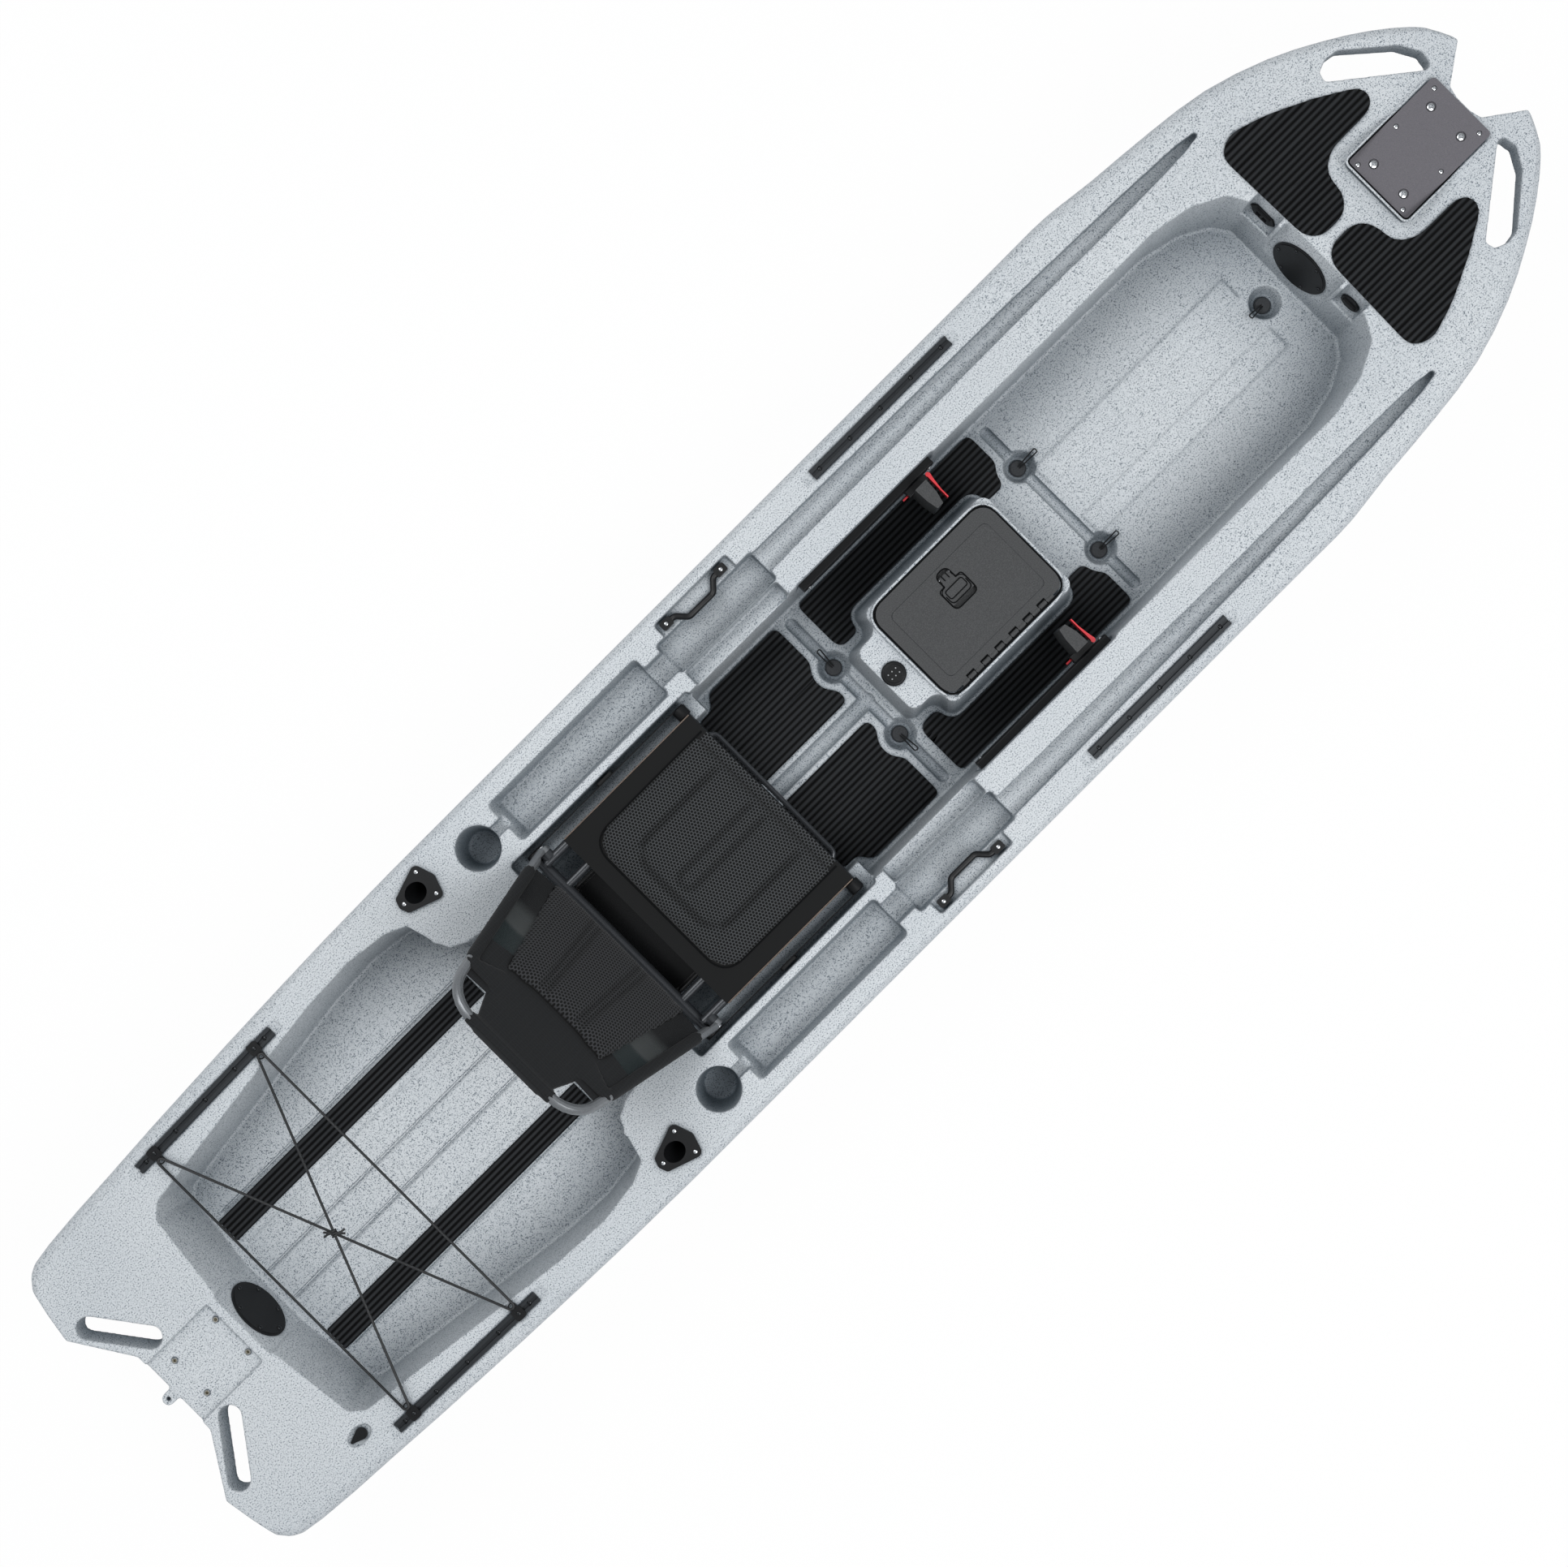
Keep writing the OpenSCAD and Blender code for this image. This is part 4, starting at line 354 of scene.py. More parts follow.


# %% [markdown]
# ## Rotomoulded hull
# The hull is one polyethylene moulding: powder melts in a turning mould, so no edge is sharper than a few
# millimetres. The copy is remeshed into even cells and smoothed, which rounds every edge alike, and then
# thinned where it is flat. The plastic is satin, and dark powder grains leave fine blue-grey flecks in it.
# Its colour is also darkened in the wells, recesses and creases, as painted shade.

# %% Hull plastic
FLECK_MM, PATCH_MM, HOLLOW_MM = 2.8, 350, 230
hull_plastic, tree, surface = finish("rotomoulded_polyethylene", "#C8CCCF", 0.5, IOR=1.5, specular=0.35)
where = on_object(tree)
flecks = grains(tree, where, FLECK_MM, roughness=0.6)
fleck_colour = ramp_of(tree, flecks, [(0.36, "#5E6770"), (0.43, "#B5BBC0"), (0.5, "#C7CBCE"),
                                      (0.7, "#CED2D5")])
patch_colour = ramp_of(tree, grains(tree, where, PATCH_MM, 1.0), [(0.32, "#F7F8F9"), (0.68, "#FFFFFF")])
# Painted shade: the hull's colour is darkened toward blue-grey in its wells, recesses and creases.
painted_hollow_shade(tree, surface, times(tree, fleck_colour, patch_colour), HOLLOW_MM, "#8B949B")
bump_from(tree, surface, flecks, 0.2, 0.35)
print("hull plastic:", hull_plastic.name)

# %% Hull skin
HULL_CELL = 0.0032
SMOOTH_PASSES = 4
HULL_TRIANGLES = 190000


def remeshed(mesh, cell, passes, triangles=None):
    """The mesh in even cells, smoothed, and thinned where it is flat to the given number of triangles."""
    obj = linked("remeshing", mesh)
    cells = obj.modifiers.new("cells", "REMESH")
    cells.mode = "VOXEL"
    cells.voxel_size = cell
    smooth = obj.modifiers.new("smooth", "SMOOTH")
    smooth.factor = 0.5
    smooth.iterations = passes
    mesh = evaluated(obj)
    if triangles and 2 * len(mesh.polygons) > triangles:
        obj = linked("thinning", mesh)
        obj.modifiers.new("thin", "DECIMATE").ratio = triangles / (2 * len(mesh.polygons))
        mesh = evaluated(obj)
    return mesh


hull_mesh = remeshed(welded("hull_moulding", 0), HULL_CELL, SMOOTH_PASSES, HULL_TRIANGLES)
place("hull_skin", hull_mesh, "hull", hull_plastic, "hull_pe", ["hull_moulding"], sharp=0)
print("hull skin:", len(hull_mesh.polygons), "faces")

# %% [markdown]
# ## Moulded and metal finishes
# Each finish starts from the real material's usual gloss. Moulded plastic has a fine spark-eroded grain that
# breaks up its shine, anodised and powder-coated tubes have a soft even sheen, and stainless steel is bright.


# %% Finishes for hard parts
def grained(name, colour, light, roughness, grain_mm, depth_mm=0.05, **shader):
    """A moulded surface: two tones of one colour and a fine bump, both from one noise of the grain's size."""
    material, tree, surface = finish(name, colour, roughness, **shader)
    grain = grains(tree, on_object(tree), grain_mm)
    paint(tree, surface, ramp_of(tree, grain, [(0.38, colour), (0.66, light)]))
    bump_from(tree, surface, grain, depth_mm, 0.6)
    return material


black_abs = grained("black_abs", "#101112", "#191A1C", 0.38, 1.6, IOR=1.53, specular=0.22)
gloss_black = grained("gloss_black_polypropylene", "#0C0D0E", "#121314", 0.22, 3.0, 0.02, IOR=1.49,
                      specular=0.3)
lid_plastic = grained("grey_polypropylene", "#3C3D3E", "#4A4B4C", 0.55, 2.2, 0.08, IOR=1.49, specular=0.22)
plate_plastic = grained("warm_grey_hdpe_plate", "#5F5D62", "#69676C", 0.5, 1.8, IOR=1.5, specular=0.3)
track_metal = grained("dark_anodised_aluminium", "#2E3134", "#3A3D40", 0.35, 1.2, 0.02, metallic=0.6)
tube_coat = grained("black_powder_coat", "#303235", "#404347", 0.28, 1.4, 0.03, metallic=0.45)
tube_metal = grained("grey_anodised_tube", "#6E7174", "#85888B", 0.32, 1.2, 0.02, metallic=0.55)
stainless = grained("stainless_steel", "#B9BCBF", "#D5D7D9", 0.24, 2.0, 0.01, metallic=1.0)
brass = grained("nickelled_brass_insert", "#A6A296", "#C2BEB2", 0.3, 2.0, 0.01, metallic=1.0)
gasket_rubber = grained("closed_cell_gasket", "#08090A", "#121314", 0.9, 1.5, 0.1, specular=0.1)
plug_rubber = grained("soft_grey_rubber", "#2C2E30", "#383A3D", 0.65, 1.8, 0.06, specular=0.25)
black_steel = grained("blackened_steel", "#2B2D2F", "#3C3E40", 0.3, 1.2, 0.02, metallic=0.8)
mark_grey = grained("pale_grey_print", "#8E9193", "#9EA1A3", 0.6, 1.5, 0.01)
loop_cord = grained("black_loop_cord", "#0A0B0C", "#141516", 0.6, 1.0)
cord_braid = grained("braided_black_cord", "#0E0F10", "#2A2C2E", 0.55, 1.8, 0.25)
copper_strip = grained("copper_brown_welt", "#4C4038", "#6A5A4E", 0.3, 2.0, 0.02, metallic=0.3)
red_nylon = grained("red_nylon", "#D92F38", "#E64049", 0.32, 2.4, 0.03, IOR=1.53)


def foam_with_painted_rib_shading(name, pitch_mm, first_mm):
    """Foam with a painted highlight on its rib tops and painted shade in its grooves. A rib's middle lies
    first_mm from the keel.
    """
    material, tree, surface = finish(name, "#17181A", 0.8, specular=0.12)
    where = on_object(tree)
    out = maths(tree, "ABSOLUTE", add(tree, "ShaderNodeSeparateXYZ", Vector=where).outputs["Y"])
    turns = maths(tree, "MULTIPLY_ADD", out, 2 * math.pi / (pitch_mm * MM),
                  -2 * math.pi * first_mm / pitch_mm)
    level = share(tree, maths(tree, "COSINE", turns), -1.0, 1.0)
    # Painted light: the grooves are painted near black as shade and the rib tops paler as a highlight, in step
    # with the ribs.
    paint(tree, surface, ramp_of(tree, level, [(0.12, "#040505"), (0.3, "#141517"), (0.6, "#252628"),
                                               (1.0, "#2B2D2F")]))
    bump_from(tree, surface, grains(tree, where, 1.3), 0.12, 0.6)
    return material


pad_foam = foam_with_painted_rib_shading("ribbed_eva_foam", 13.0, 0.0)
strip_foam = foam_with_painted_rib_shading("ribbed_strip_foam", 12.0, 145.0)
print("hard finishes ready")

# %% [markdown]
# ## Hard fittings
# One table says how far each fitting's edges are eased, and its finish and slot. A few fittings have faces of
# a second material, such as the cord loops on the scupper plugs, and a test on the faces' centres finds them.


# %% Hard parts with eased edges
def both(name):
    return [name + "_" + side for side in SIDES]


PLUGS = {"aft_port": (0.173, 0.105), "aft_starboard": (0.173, -0.105), "fwd_port": (0.781, 0.129),
         "fwd_starboard": (0.781, -0.129), "bow": (1.418, 0.0)}
HARD = [
    (1.2, plate_plastic, "plate_grey", ["bow_plate"]),
    (0.5, black_abs, "black_plastic", ["hatch_frame", "bungee_anchors"]),
    (0.8, black_abs, "black_plastic", ["power_port", "control_pad"] + both("foot_rail")),
    (1.0, black_abs, "black_plastic", ["bow_oval_plate", "stern_oval_plate", "drain_plug", "strap_buckles"]),
    (1.2, black_abs, "black_plastic", ["bow_wall_plug"] + both("rod_holder")),
    (1.5, black_abs, "black_plastic", both("carry_handle")),
    (1.6, black_abs, "black_plastic", ["seat_feet"]),
    (1.6, gloss_black, "black_plastic", ["under_seat_bin"]),
    (0.8, gasket_rubber, "gasket", ["hatch_gasket"]),
    (0.3, stainless, "steel", ["latch_pin"]),
    (0.4, stainless, "steel", ["hatch_hinge_pin"]),
    (0.8, stainless, "steel", ["hinge_bolts"]),
    (0.5, lid_plastic, "dark_plastic", ["hatch_lid"]),
    (0.6, lid_plastic, "dark_plastic", ["latch_paddle"]),
    (1.0, lid_plastic, "dark_plastic", both("foot_pedal")),
    (0.4, track_metal, "track_grey", both("stern_track") + both("bow_track")),
    (0.6, red_nylon, "red_plastic", both("release_lever")),
    (0.4, brass, "brass", ["stern_inserts"]),
    (0.8, tube_coat, "seat_tube", ["seat_frame"]),
    (0.5, tube_metal, "back_tube", ["back_frame"]),
    (0.8, plug_rubber, "plug_grey", ["scupper_plug_" + name for name in PLUGS]),
]
eased_parts = {node: soften(node, edge_mm, material, slot)
               for edge_mm, material, slot, nodes in HARD for node in nodes}
print("eased:", len(eased_parts), "hard parts")

# %% Faces of a second material
PLUG_TOP, PLUG_HEAD_R = 0.0335, 0.0195
CARRIAGE_Y = 0.246
INSERT_XS, INSERT_Y, INSERT_R = (-1.886, -1.762), 0.049, 0.0046
KNUCKLE_Y, KNUCKLE_Z = -0.1125, 0.336


def repaint(node, material, chosen):
    """Gives another finish to those faces of an eased part whose centres the test picks."""
    mesh = eased_parts[node].data
    mesh.materials.append(material)
    for face in mesh.polygons:
        if chosen(face.center):
            face.material_index = len(mesh.materials) - 1


for name, (x, y) in PLUGS.items():
    head_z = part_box("scupper_plug_" + name)[0].z + PLUG_TOP
    repaint("scupper_plug_" + name, loop_cord, lambda at: (
        at.z > head_z or math.hypot(at.x - x, at.y - y) > PLUG_HEAD_R))
for side, k in SIDES.items():
    repaint("foot_pedal_" + side, black_abs, lambda at: k * at.y > CARRIAGE_Y)
repaint("stern_inserts", hull_plastic, lambda at: min(
    math.hypot(at.x - x, abs(at.y) - INSERT_Y) for x in INSERT_XS) > INSERT_R)
repaint("hatch_frame", lid_plastic, lambda at: at.y < KNUCKLE_Y and at.z > KNUCKLE_Z)
print("second materials ready")

# %% [markdown]
# ## Geometry Nodes
# What repeats is made by small node trees: round bars along lines, screw heads and ribs of foam pads. Each
# tree takes its sizes as named inputs, and its result becomes a plain mesh on the body that carries it.


# %% Building and running a node tree
def new_tree(name, inputs):
    """A tree with geometry in and out, and named inputs, each with a number or only the name of its kind."""
    tree = bpy.data.node_groups.new(name, "GeometryNodeTree")
    tree.interface.new_socket("Geometry", in_out="OUTPUT", socket_type="NodeSocketGeometry")
    tree.interface.new_socket("Geometry", in_out="INPUT", socket_type="NodeSocketGeometry")
    for key, default in inputs.items():
        named = isinstance(default, str)
        kind = default if named else {float: "Float", int: "Int"}[type(default)]
        socket = tree.interface.new_socket(key, in_out="INPUT", socket_type="NodeSocket" + kind)
        if not named:
            socket.default_value = default
    entry = tree.nodes.new("NodeGroupInput")
    return tree, {socket.name: socket for socket in entry.outputs if socket.name}


def close_tree(tree, geometry, material):
    solid = add(tree, "GeometryNodeRealizeInstances", Geometry=geometry)
    painted = add(tree, "GeometryNodeSetMaterial", Geometry=solid.outputs[0], Material=material)
    leaving = tree.nodes.new("NodeGroupOutput")
    tree.links.new(painted.outputs[0], leaving.inputs[0])


def run_tree(tree, mesh, values):
    """Runs the tree on a mesh and gives the finished mesh."""
    obj = linked("growing", mesh)
    modifier = obj.modifiers.new("tree", "NODES")
    modifier.node_group = tree
    for item in tree.interface.items_tree:
        if item.in_out == "INPUT" and item.name in values:
            modifier[item.identifier] = values[item.name]
    return evaluated(obj)


# %% Round bars along paths
bar_tree, bar_in = new_tree("round_bar", {"Radius": 0.003, "Sides": 8, "Material": "Material"})
line = add(bar_tree, "GeometryNodeMeshToCurve", Mesh=bar_in["Geometry"])
ring = add(bar_tree, "GeometryNodeCurvePrimitiveCircle", {"mode": "RADIUS"}, Resolution=bar_in["Sides"],
           Radius=bar_in["Radius"])
skin = add(bar_tree, "GeometryNodeCurveToMesh", Curve=line.outputs[0], Profile_Curve=ring.outputs[0],
           Fill_Caps=True)
close_tree(bar_tree, skin.outputs[0], bar_in["Material"])


def round_bars(paths, radius_mm, material, sides=8):
    """Round bars along paths of points in metres. A path whose last point is its first is closed."""
    vertices, edges = [], []
    for path in paths:
        points = [tuple(p) for p in path]
        last = len(points) - 1
        closed = points[0] == points[last]
        numbers = [len(vertices) + (0 if closed and i == last else i) for i in range(last + 1)]
        edges += zip(numbers, numbers[1:])
        vertices += points[:last] if closed else points
    values = {"Radius": radius_mm * MM, "Sides": sides, "Material": material}
    return run_tree(bar_tree, drawn("paths", vertices, edges), values)


def lay_bars(name, body, slot, paths, radius_mm, material, sides=8, nodes=()):
    """Round bars along paths as one piece of the model."""
    place(name, round_bars(paths, radius_mm, material, sides), body, None, slot, nodes, sharp=0)


def rounded(points, radii_mm, closed=False, steps=5):
    """A path whose corners are rounded by their own radii, or by one radius for all, in millimetres."""
    points = [Vector(p) for p in points]
    count = len(points)
    radii = radii_mm if isinstance(radii_mm, (list, tuple)) else [radii_mm] * count
    path = [] if closed else [points[0]]
    for i in range(0 if closed else 1, count if closed else count - 1):
        before, corner, after = points[i - 1], points[i], points[(i + 1) % count]
        back, ahead = (before - corner).normalized(), (after - corner).normalized()
        half = back.angle(ahead) / 2
        cut = min(radii[i] * MM / math.tan(half), (before - corner).length / 2, (after - corner).length / 2)
        start, end = corner + back * cut, corner + ahead * cut
        for k in range(steps + 1):
            t = k / steps
            path.append(start * (1 - t) ** 2 + corner * 2 * t * (1 - t) + end * t ** 2)
    return path + ([path[0]] if closed else [points[-1]])


def box_path(x0, y0, x1, y1, z, radius_mm):
    return rounded([(x0, y0, z), (x1, y0, z), (x1, y1, z), (x0, y1, z)], radius_mm, closed=True)


print("round bar tree:", len(bar_tree.nodes), "nodes")

# %% [markdown]
# ## Bungee over the tankwell
# One elastic cord of 6 mm is laced round the four anchor eyes, once straight across at each end and once
# corner to corner, and its ends are knotted where the diagonals cross. It is stretched all the way, so its
# runs are straight and it bends only round the eyes.

# %% Bungee cord and its knot
BUNGEE_R_MM, EYE_TURN = 3.0, 0.007
EYES = [Vector(p) for p in ((-1.290, 0.3757, 0.3611), (-1.290, -0.3757, 0.3611), (-1.599, 0.3682, 0.3611),
                            (-1.599, -0.3682, 0.3611))]
KNOT = Vector((-1.443, 0.0, 0.3712))
KNOT_TURNS, KNOT_STEPS = 2.5, 40
KNOT_LENGTH, KNOT_R, KNOT_FLATNESS, KNOT_CORD_MM = 0.013, 0.0055, 0.72, 2.6


def laced(start, eyes, end, turn):
    """A path from start to end that goes round the outside of each eye."""
    stops, path = [start] + eyes + [end], [start]
    for before, eye, after in zip(stops, stops[1:], stops[2:]):
        back, ahead = (before - eye).xy.normalized(), (after - eye).xy.normalized()
        outside = -(back + ahead)
        first, last = Vector((-back.y, back.x)), Vector((-ahead.y, ahead.x))
        first = first if first.dot(outside) > 0 else -first
        last = last if last.dot(outside) > 0 else -last
        sweep = first.angle_signed(last)
        for k in range(9):
            way = Matrix.Rotation(-sweep * k / 8, 2) @ first
            path.append(eye + Vector((way.x, way.y, 0)) * turn)
    return path + [end]


cord_way = laced(KNOT, EYES, KNOT, EYE_TURN)
cord_length = sum((b - a).length for a, b in zip(cord_way, cord_way[1:]))
lean = (EYES[0] - EYES[3]).normalized()
side_way = Vector((-lean.y, lean.x, 0)).normalized()
wraps = []
for k in range(KNOT_STEPS + 1):
    angle = 2 * math.pi * KNOT_TURNS * k / KNOT_STEPS
    out = side_way * math.cos(angle) + Vector((0, 0, 1)) * math.sin(angle) * KNOT_FLATNESS
    wraps.append(KNOT + lean * (k / KNOT_STEPS - 0.5) * KNOT_LENGTH + out * KNOT_R)
TAIL_MM = ((-16, 17, -3.0), (-10, 11, -1), (-3, 3, 2), (4, -4, 2), (12, -8, 0), (22, -9, -3.0))
tails = [[KNOT + Vector((k * x * MM, k * y * MM, z * MM)) for x, y, z in TAIL_MM] for k in (1, -1)]
lay_bars("bungee_laced", "hull", "cord", [rounded(cord_way, 0.5, steps=1)], BUNGEE_R_MM, cord_braid, 10,
         ["bungee_cord"])
lay_bars("bungee_tied", "hull", "cord", [wraps] + [rounded(tail, 12) for tail in tails], KNOT_CORD_MM,
         cord_braid, 10, ["bungee_knot"])
print("bungee, m:", round(cord_length, 3))

# %% [markdown]
# ## Lines that are moulded into the fittings
# The hatch lid has a black gap round it, a fine line inside its edge, a keyhole latch with thick outlines and
# six notches at its hinge. The bow plate, the tankwell's planks and the cup holders have lines of their own.
# Thin bars laid along those lines give the crisp strokes that the photograph shows. The black bars in the
# gaps round the lid, the latch and the bow plate, round the hinge notches, and the dark rings at the cups'
# floors are painted shadow; the pale bars on the planks and round the plate are hull plastic.

# %% Lid and hinge lines
GAP_Z, LID_TOP = 0.3408, 0.3433
GAP_BOX, PANEL_BOX = (0.2922, -0.1288, 0.6418, 0.1288), (0.323, -0.093, 0.611, 0.093)
LATCH_X = 0.467
NOTCHES, NOTCH_STEP, NOTCH_HALF, NOTCH_OUT, NOTCH_IN = 6, 0.0425, 0.0105, -0.1285, -0.1127
# Painted shadow: a black bar, in the gasket's finish, lies in the gap round the hatch lid.
lay_bars("hatch_gap_line", "hull", "gasket", [box_path(*GAP_BOX, GAP_Z, 37)], 2.2, gasket_rubber)
lay_bars("lid_panel_line", "hatch", "dark_plastic", [box_path(*PANEL_BOX, LID_TOP + 0.0004, 14)], 0.8,
         plug_rubber, 6)
notches = []
for i in range(NOTCHES):
    x = LATCH_X + (i - (NOTCHES - 1) / 2) * NOTCH_STEP
    low, high = x - NOTCH_HALF, x + NOTCH_HALF
    notches.append([(low, NOTCH_OUT, LID_TOP), (low, NOTCH_IN, LID_TOP), (high, NOTCH_IN, LID_TOP),
                    (high, NOTCH_OUT, LID_TOP)])
# Painted shadow: black bars outline the six hinge notches, where the gaps are.
lay_bars("hinge_outlines", "hull", "gasket", notches, 1.5, gasket_rubber)
print("hinge notches:", len(notches))

# %% Latch lines
PANEL_TOP, PADDLE_TOP = 0.3448, 0.3474
LATCH_OUTLINE = [(-33, 0), (33, 0), (33, 54), (17, 54), (17, 85), (-17, 85), (-17, 54), (-33, 54)]
LATCH_RADII = [14, 14, 14, 5, 17, 17, 5, 14]


def at_latch(corners_mm, z):
    return [(LATCH_X + x * MM, y * MM, z) for x, y in corners_mm]


latch_edge = rounded(at_latch(LATCH_OUTLINE, PANEL_TOP), LATCH_RADII, closed=True)
# Painted shadow: a black bar follows the gap round the latch pocket.
lay_bars("lid_outlines", "hatch", "gasket", [latch_edge], 1.5, gasket_rubber)
pill = box_path(LATCH_X - 0.0245, 0.0245, LATCH_X + 0.0245, 0.0455, PADDLE_TOP, 6)
free_end = rounded(at_latch([(-29, 36), (-29, 14), (29, 14), (29, 36)], PADDLE_TOP), 12)
barrel = [at_latch([(x, 62), (x, 76)], PADDLE_TOP) for x in (-6, 6)]
# Painted shadow: black bars follow the gaps round the latch paddle and its barrel.
lay_bars("latch_outlines", "hatch_latch", "gasket", [pill, free_end] + barrel, 1.2, gasket_rubber)
print("latch lines ready")

# %% Control pad, bow plate, planks and cups
PAD_X, PAD_Z = 0.244, 0.3351
BUTTON_STEP_X, BUTTON_Y = 0.011, 0.006
FOREDECK_SLOPE, RIM_DROP = 0.08, 0.003
PLATE_GAP, PLATE_RIM = 0.0016, 0.0062
PLANK_HALF, PLANK_PITCH, PLANK_SHIFT, PLANK_TOP = 0.041, 0.082, 0.004, 0.1952
CUP_X, CUP_Y, CUP_R, CUP_FLOOR = -0.650, 0.364, 0.035, 0.2406
buttons = [[(PAD_X + i * BUTTON_STEP_X, k * BUTTON_Y, PAD_Z + z) for z in (-0.001, 0.0005)]
           for i in (-1, 0, 1) for k in (-1, 1)]
lay_bars("pad_buttons", "hull", "dark_plastic", buttons, 1.5, mark_grey, 10)

plate_low, plate_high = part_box("bow_plate")


def round_plate(gap):
    """A line round the bow plate, a little under its top, that slopes with the foredeck."""
    path = box_path(plate_low.x - gap, plate_low.y - gap, plate_high.x + gap, plate_high.y + gap, 0.0,
                    10 + gap / MM)
    top = plate_high.z - RIM_DROP
    return [Vector((at.x, at.y, top - FOREDECK_SLOPE * (at.x - plate_low.x))) for at in path]


# Painted shadow: a black bar lies in the gap round the bow plate; the pale rim beside it is hull plastic.
lay_bars("bow_plate_gap", "hull", "gasket", [round_plate(PLATE_GAP)], 1.8, gasket_rubber)
lay_bars("bow_plate_rim", "hull", "hull_pe", [round_plate(PLATE_RIM)], 2.6, hull_plastic)

planks = []
for i in (0, 2):
    for k in SIDES.values():
        y = k * (PLANK_HALF + PLANK_PITCH * i) + PLANK_SHIFT
        planks.append([(-1.658 + 0.010 * i, y, PLANK_TOP), (-0.881 - 0.012 * i, y, PLANK_TOP)])
lay_bars("tank_plank_edges", "hull", "hull_pe", planks, 1.9, hull_plastic)
# Painted shadow: each cup holder gets a dark ring where its wall meets its floor.
for name, k in SIDES.items():
    ring = [(CUP_X + CUP_R * math.cos(a), k * CUP_Y + CUP_R * math.sin(a), CUP_FLOOR)
            for a in np.linspace(0, 2 * math.pi, 49)[:-1]]
    lay_bars("cup_ring_" + name, "hull", "hull_pe", [ring + ring[:1]], 0.9, plug_rubber)
print("lines on the plate, planks and cups ready")

# %% [markdown]
# ## Screws
# Each screw of the CAD is one loose part. Its axis is the direction in which it is not round, and its head is
# at the wider end. A node tree, which takes the axis and the size as attributes, puts a pan head with a cross
# recess there.

# %% Screw head and its tree
SIDES_OF_HEAD = 32
HEAD_RINGS = [(0.0, -0.30, False), (0.20, -0.30, True), (0.24, 0.0, True), (0.62, -0.03, False),
              (0.86, -0.13, False), (0.98, -0.30, False), (1.0, -0.55, False), (0.0, -0.55, False)]


def screw_head():
    """A pan head of radius 1 with its top at 0. A crossed ring follows the cross recess, not a circle."""
    work = bmesh.new()
    rings = []
    for radius, height, crossed in HEAD_RINGS:
        if radius == 0:
            rings.append([work.verts.new((0, 0, height))])
            continue
        ring = []
        for k in range(SIDES_OF_HEAD):
            angle = 2 * math.pi * k / SIDES_OF_HEAD
            reach = radius * 2.5 if crossed and k % 8 in (0, 1, 7) else radius
            ring.append(work.verts.new((reach * math.cos(angle), reach * math.sin(angle), height)))
        rings.append(ring)
    for low, high in zip(rings, rings[1:]):
        for k in range(SIDES_OF_HEAD):
            j = (k + 1) % SIDES_OF_HEAD
            corners = [low[k % len(low)], high[k % len(high)], high[j % len(high)], low[j % len(low)]]
            unique = list(dict.fromkeys(corners))
            if len(unique) > 2:
                work.faces.new(unique)
    bmesh.ops.recalc_face_normals(work, faces=work.faces)
    return mesh_of(work, "screw_head")


screw_tree, screw = new_tree("screw_heads", {"Head": "Object", "Material": "Material"})
axis = add(screw_tree, "GeometryNodeInputNamedAttribute", {"data_type": "FLOAT_VECTOR"}, Name="axis")
size = add(screw_tree, "GeometryNodeInputNamedAttribute", {"data_type": "FLOAT"}, Name="size")
turned = add(screw_tree, "FunctionNodeAlignRotationToVector", {"axis": "Z"}, Vector=axis.outputs[0])
head = add(screw_tree, "GeometryNodeObjectInfo", Object=screw["Head"])
heads = add(screw_tree, "GeometryNodeInstanceOnPoints", Points=screw["Geometry"],
            Instance=head.outputs["Geometry"], Rotation=turned.outputs[0], Scale=size.outputs[0])
close_tree(screw_tree, heads.outputs[0], screw["Material"])
print("screw tree:", len(screw_tree.nodes), "nodes")


# %% Reading the screws' places
def loose_parts(mesh):
    """The corners of each loose part of a mesh."""
    work = bmesh.new()
    work.from_mesh(mesh)
    left, parts = dict.fromkeys(work.verts), []
    while left:
        stack, part = [left.popitem()[0]], []
        while stack:
            corner = stack.pop()
            part.append(corner.co[:])
            for edge in corner.link_edges:
                other = edge.other_vert(corner)
                if other in left:
                    del left[other]
                    stack.append(other)
        parts.append(np.array(part))
    work.free()
    return parts


def screw_places(node):
    """The top, the axis and the head's radius of each screw."""
    found = []
    for part in loose_parts(welded(node, 0)):
        middle = (part.min(0) + part.max(0)) / 2
        spread, directions = np.linalg.eigh(np.cov((part - part.mean(0)).T))
        k = 2 if abs(spread[1] - spread[0]) < abs(spread[2] - spread[1]) else 0
        axis_way = directions[:, k]
        along = (part - middle) @ axis_way
        out = np.linalg.norm((part - middle) - along[:, None] * axis_way, axis=1)
        wide = out > out.max() * 0.9
        if along[wide].mean() < (along.min() + along.max()) / 2:
            axis_way, along = -axis_way, -along
        found.append((middle + axis_way * along.max(), axis_way, float(out.max())))
    return found


# %% Screws in their places
HANDLE_X, HANDLE_HALF, ROD_XS = 0.0565, 0.0825, (-0.86, -0.74)
head_object = linked("screw_head", screw_head())


def screws(name, places, material, slot, nodes=()):
    """Heads at the given places on the hull, as one piece."""
    tops, ways, radii = zip(*places)
    mesh = drawn(name, tops)
    rows = (("axis", "FLOAT_VECTOR", "vector", ways), ("size", "FLOAT", "value", radii))
    for key, kind, field, values in rows:
        mesh.attributes.new(key, kind, "POINT").data.foreach_set(field, np.array(values, np.float32).ravel())
    mesh = run_tree(screw_tree, mesh, {"Head": head_object, "Material": material})
    place(name, mesh, "hull", None, slot, nodes, sharp=30)


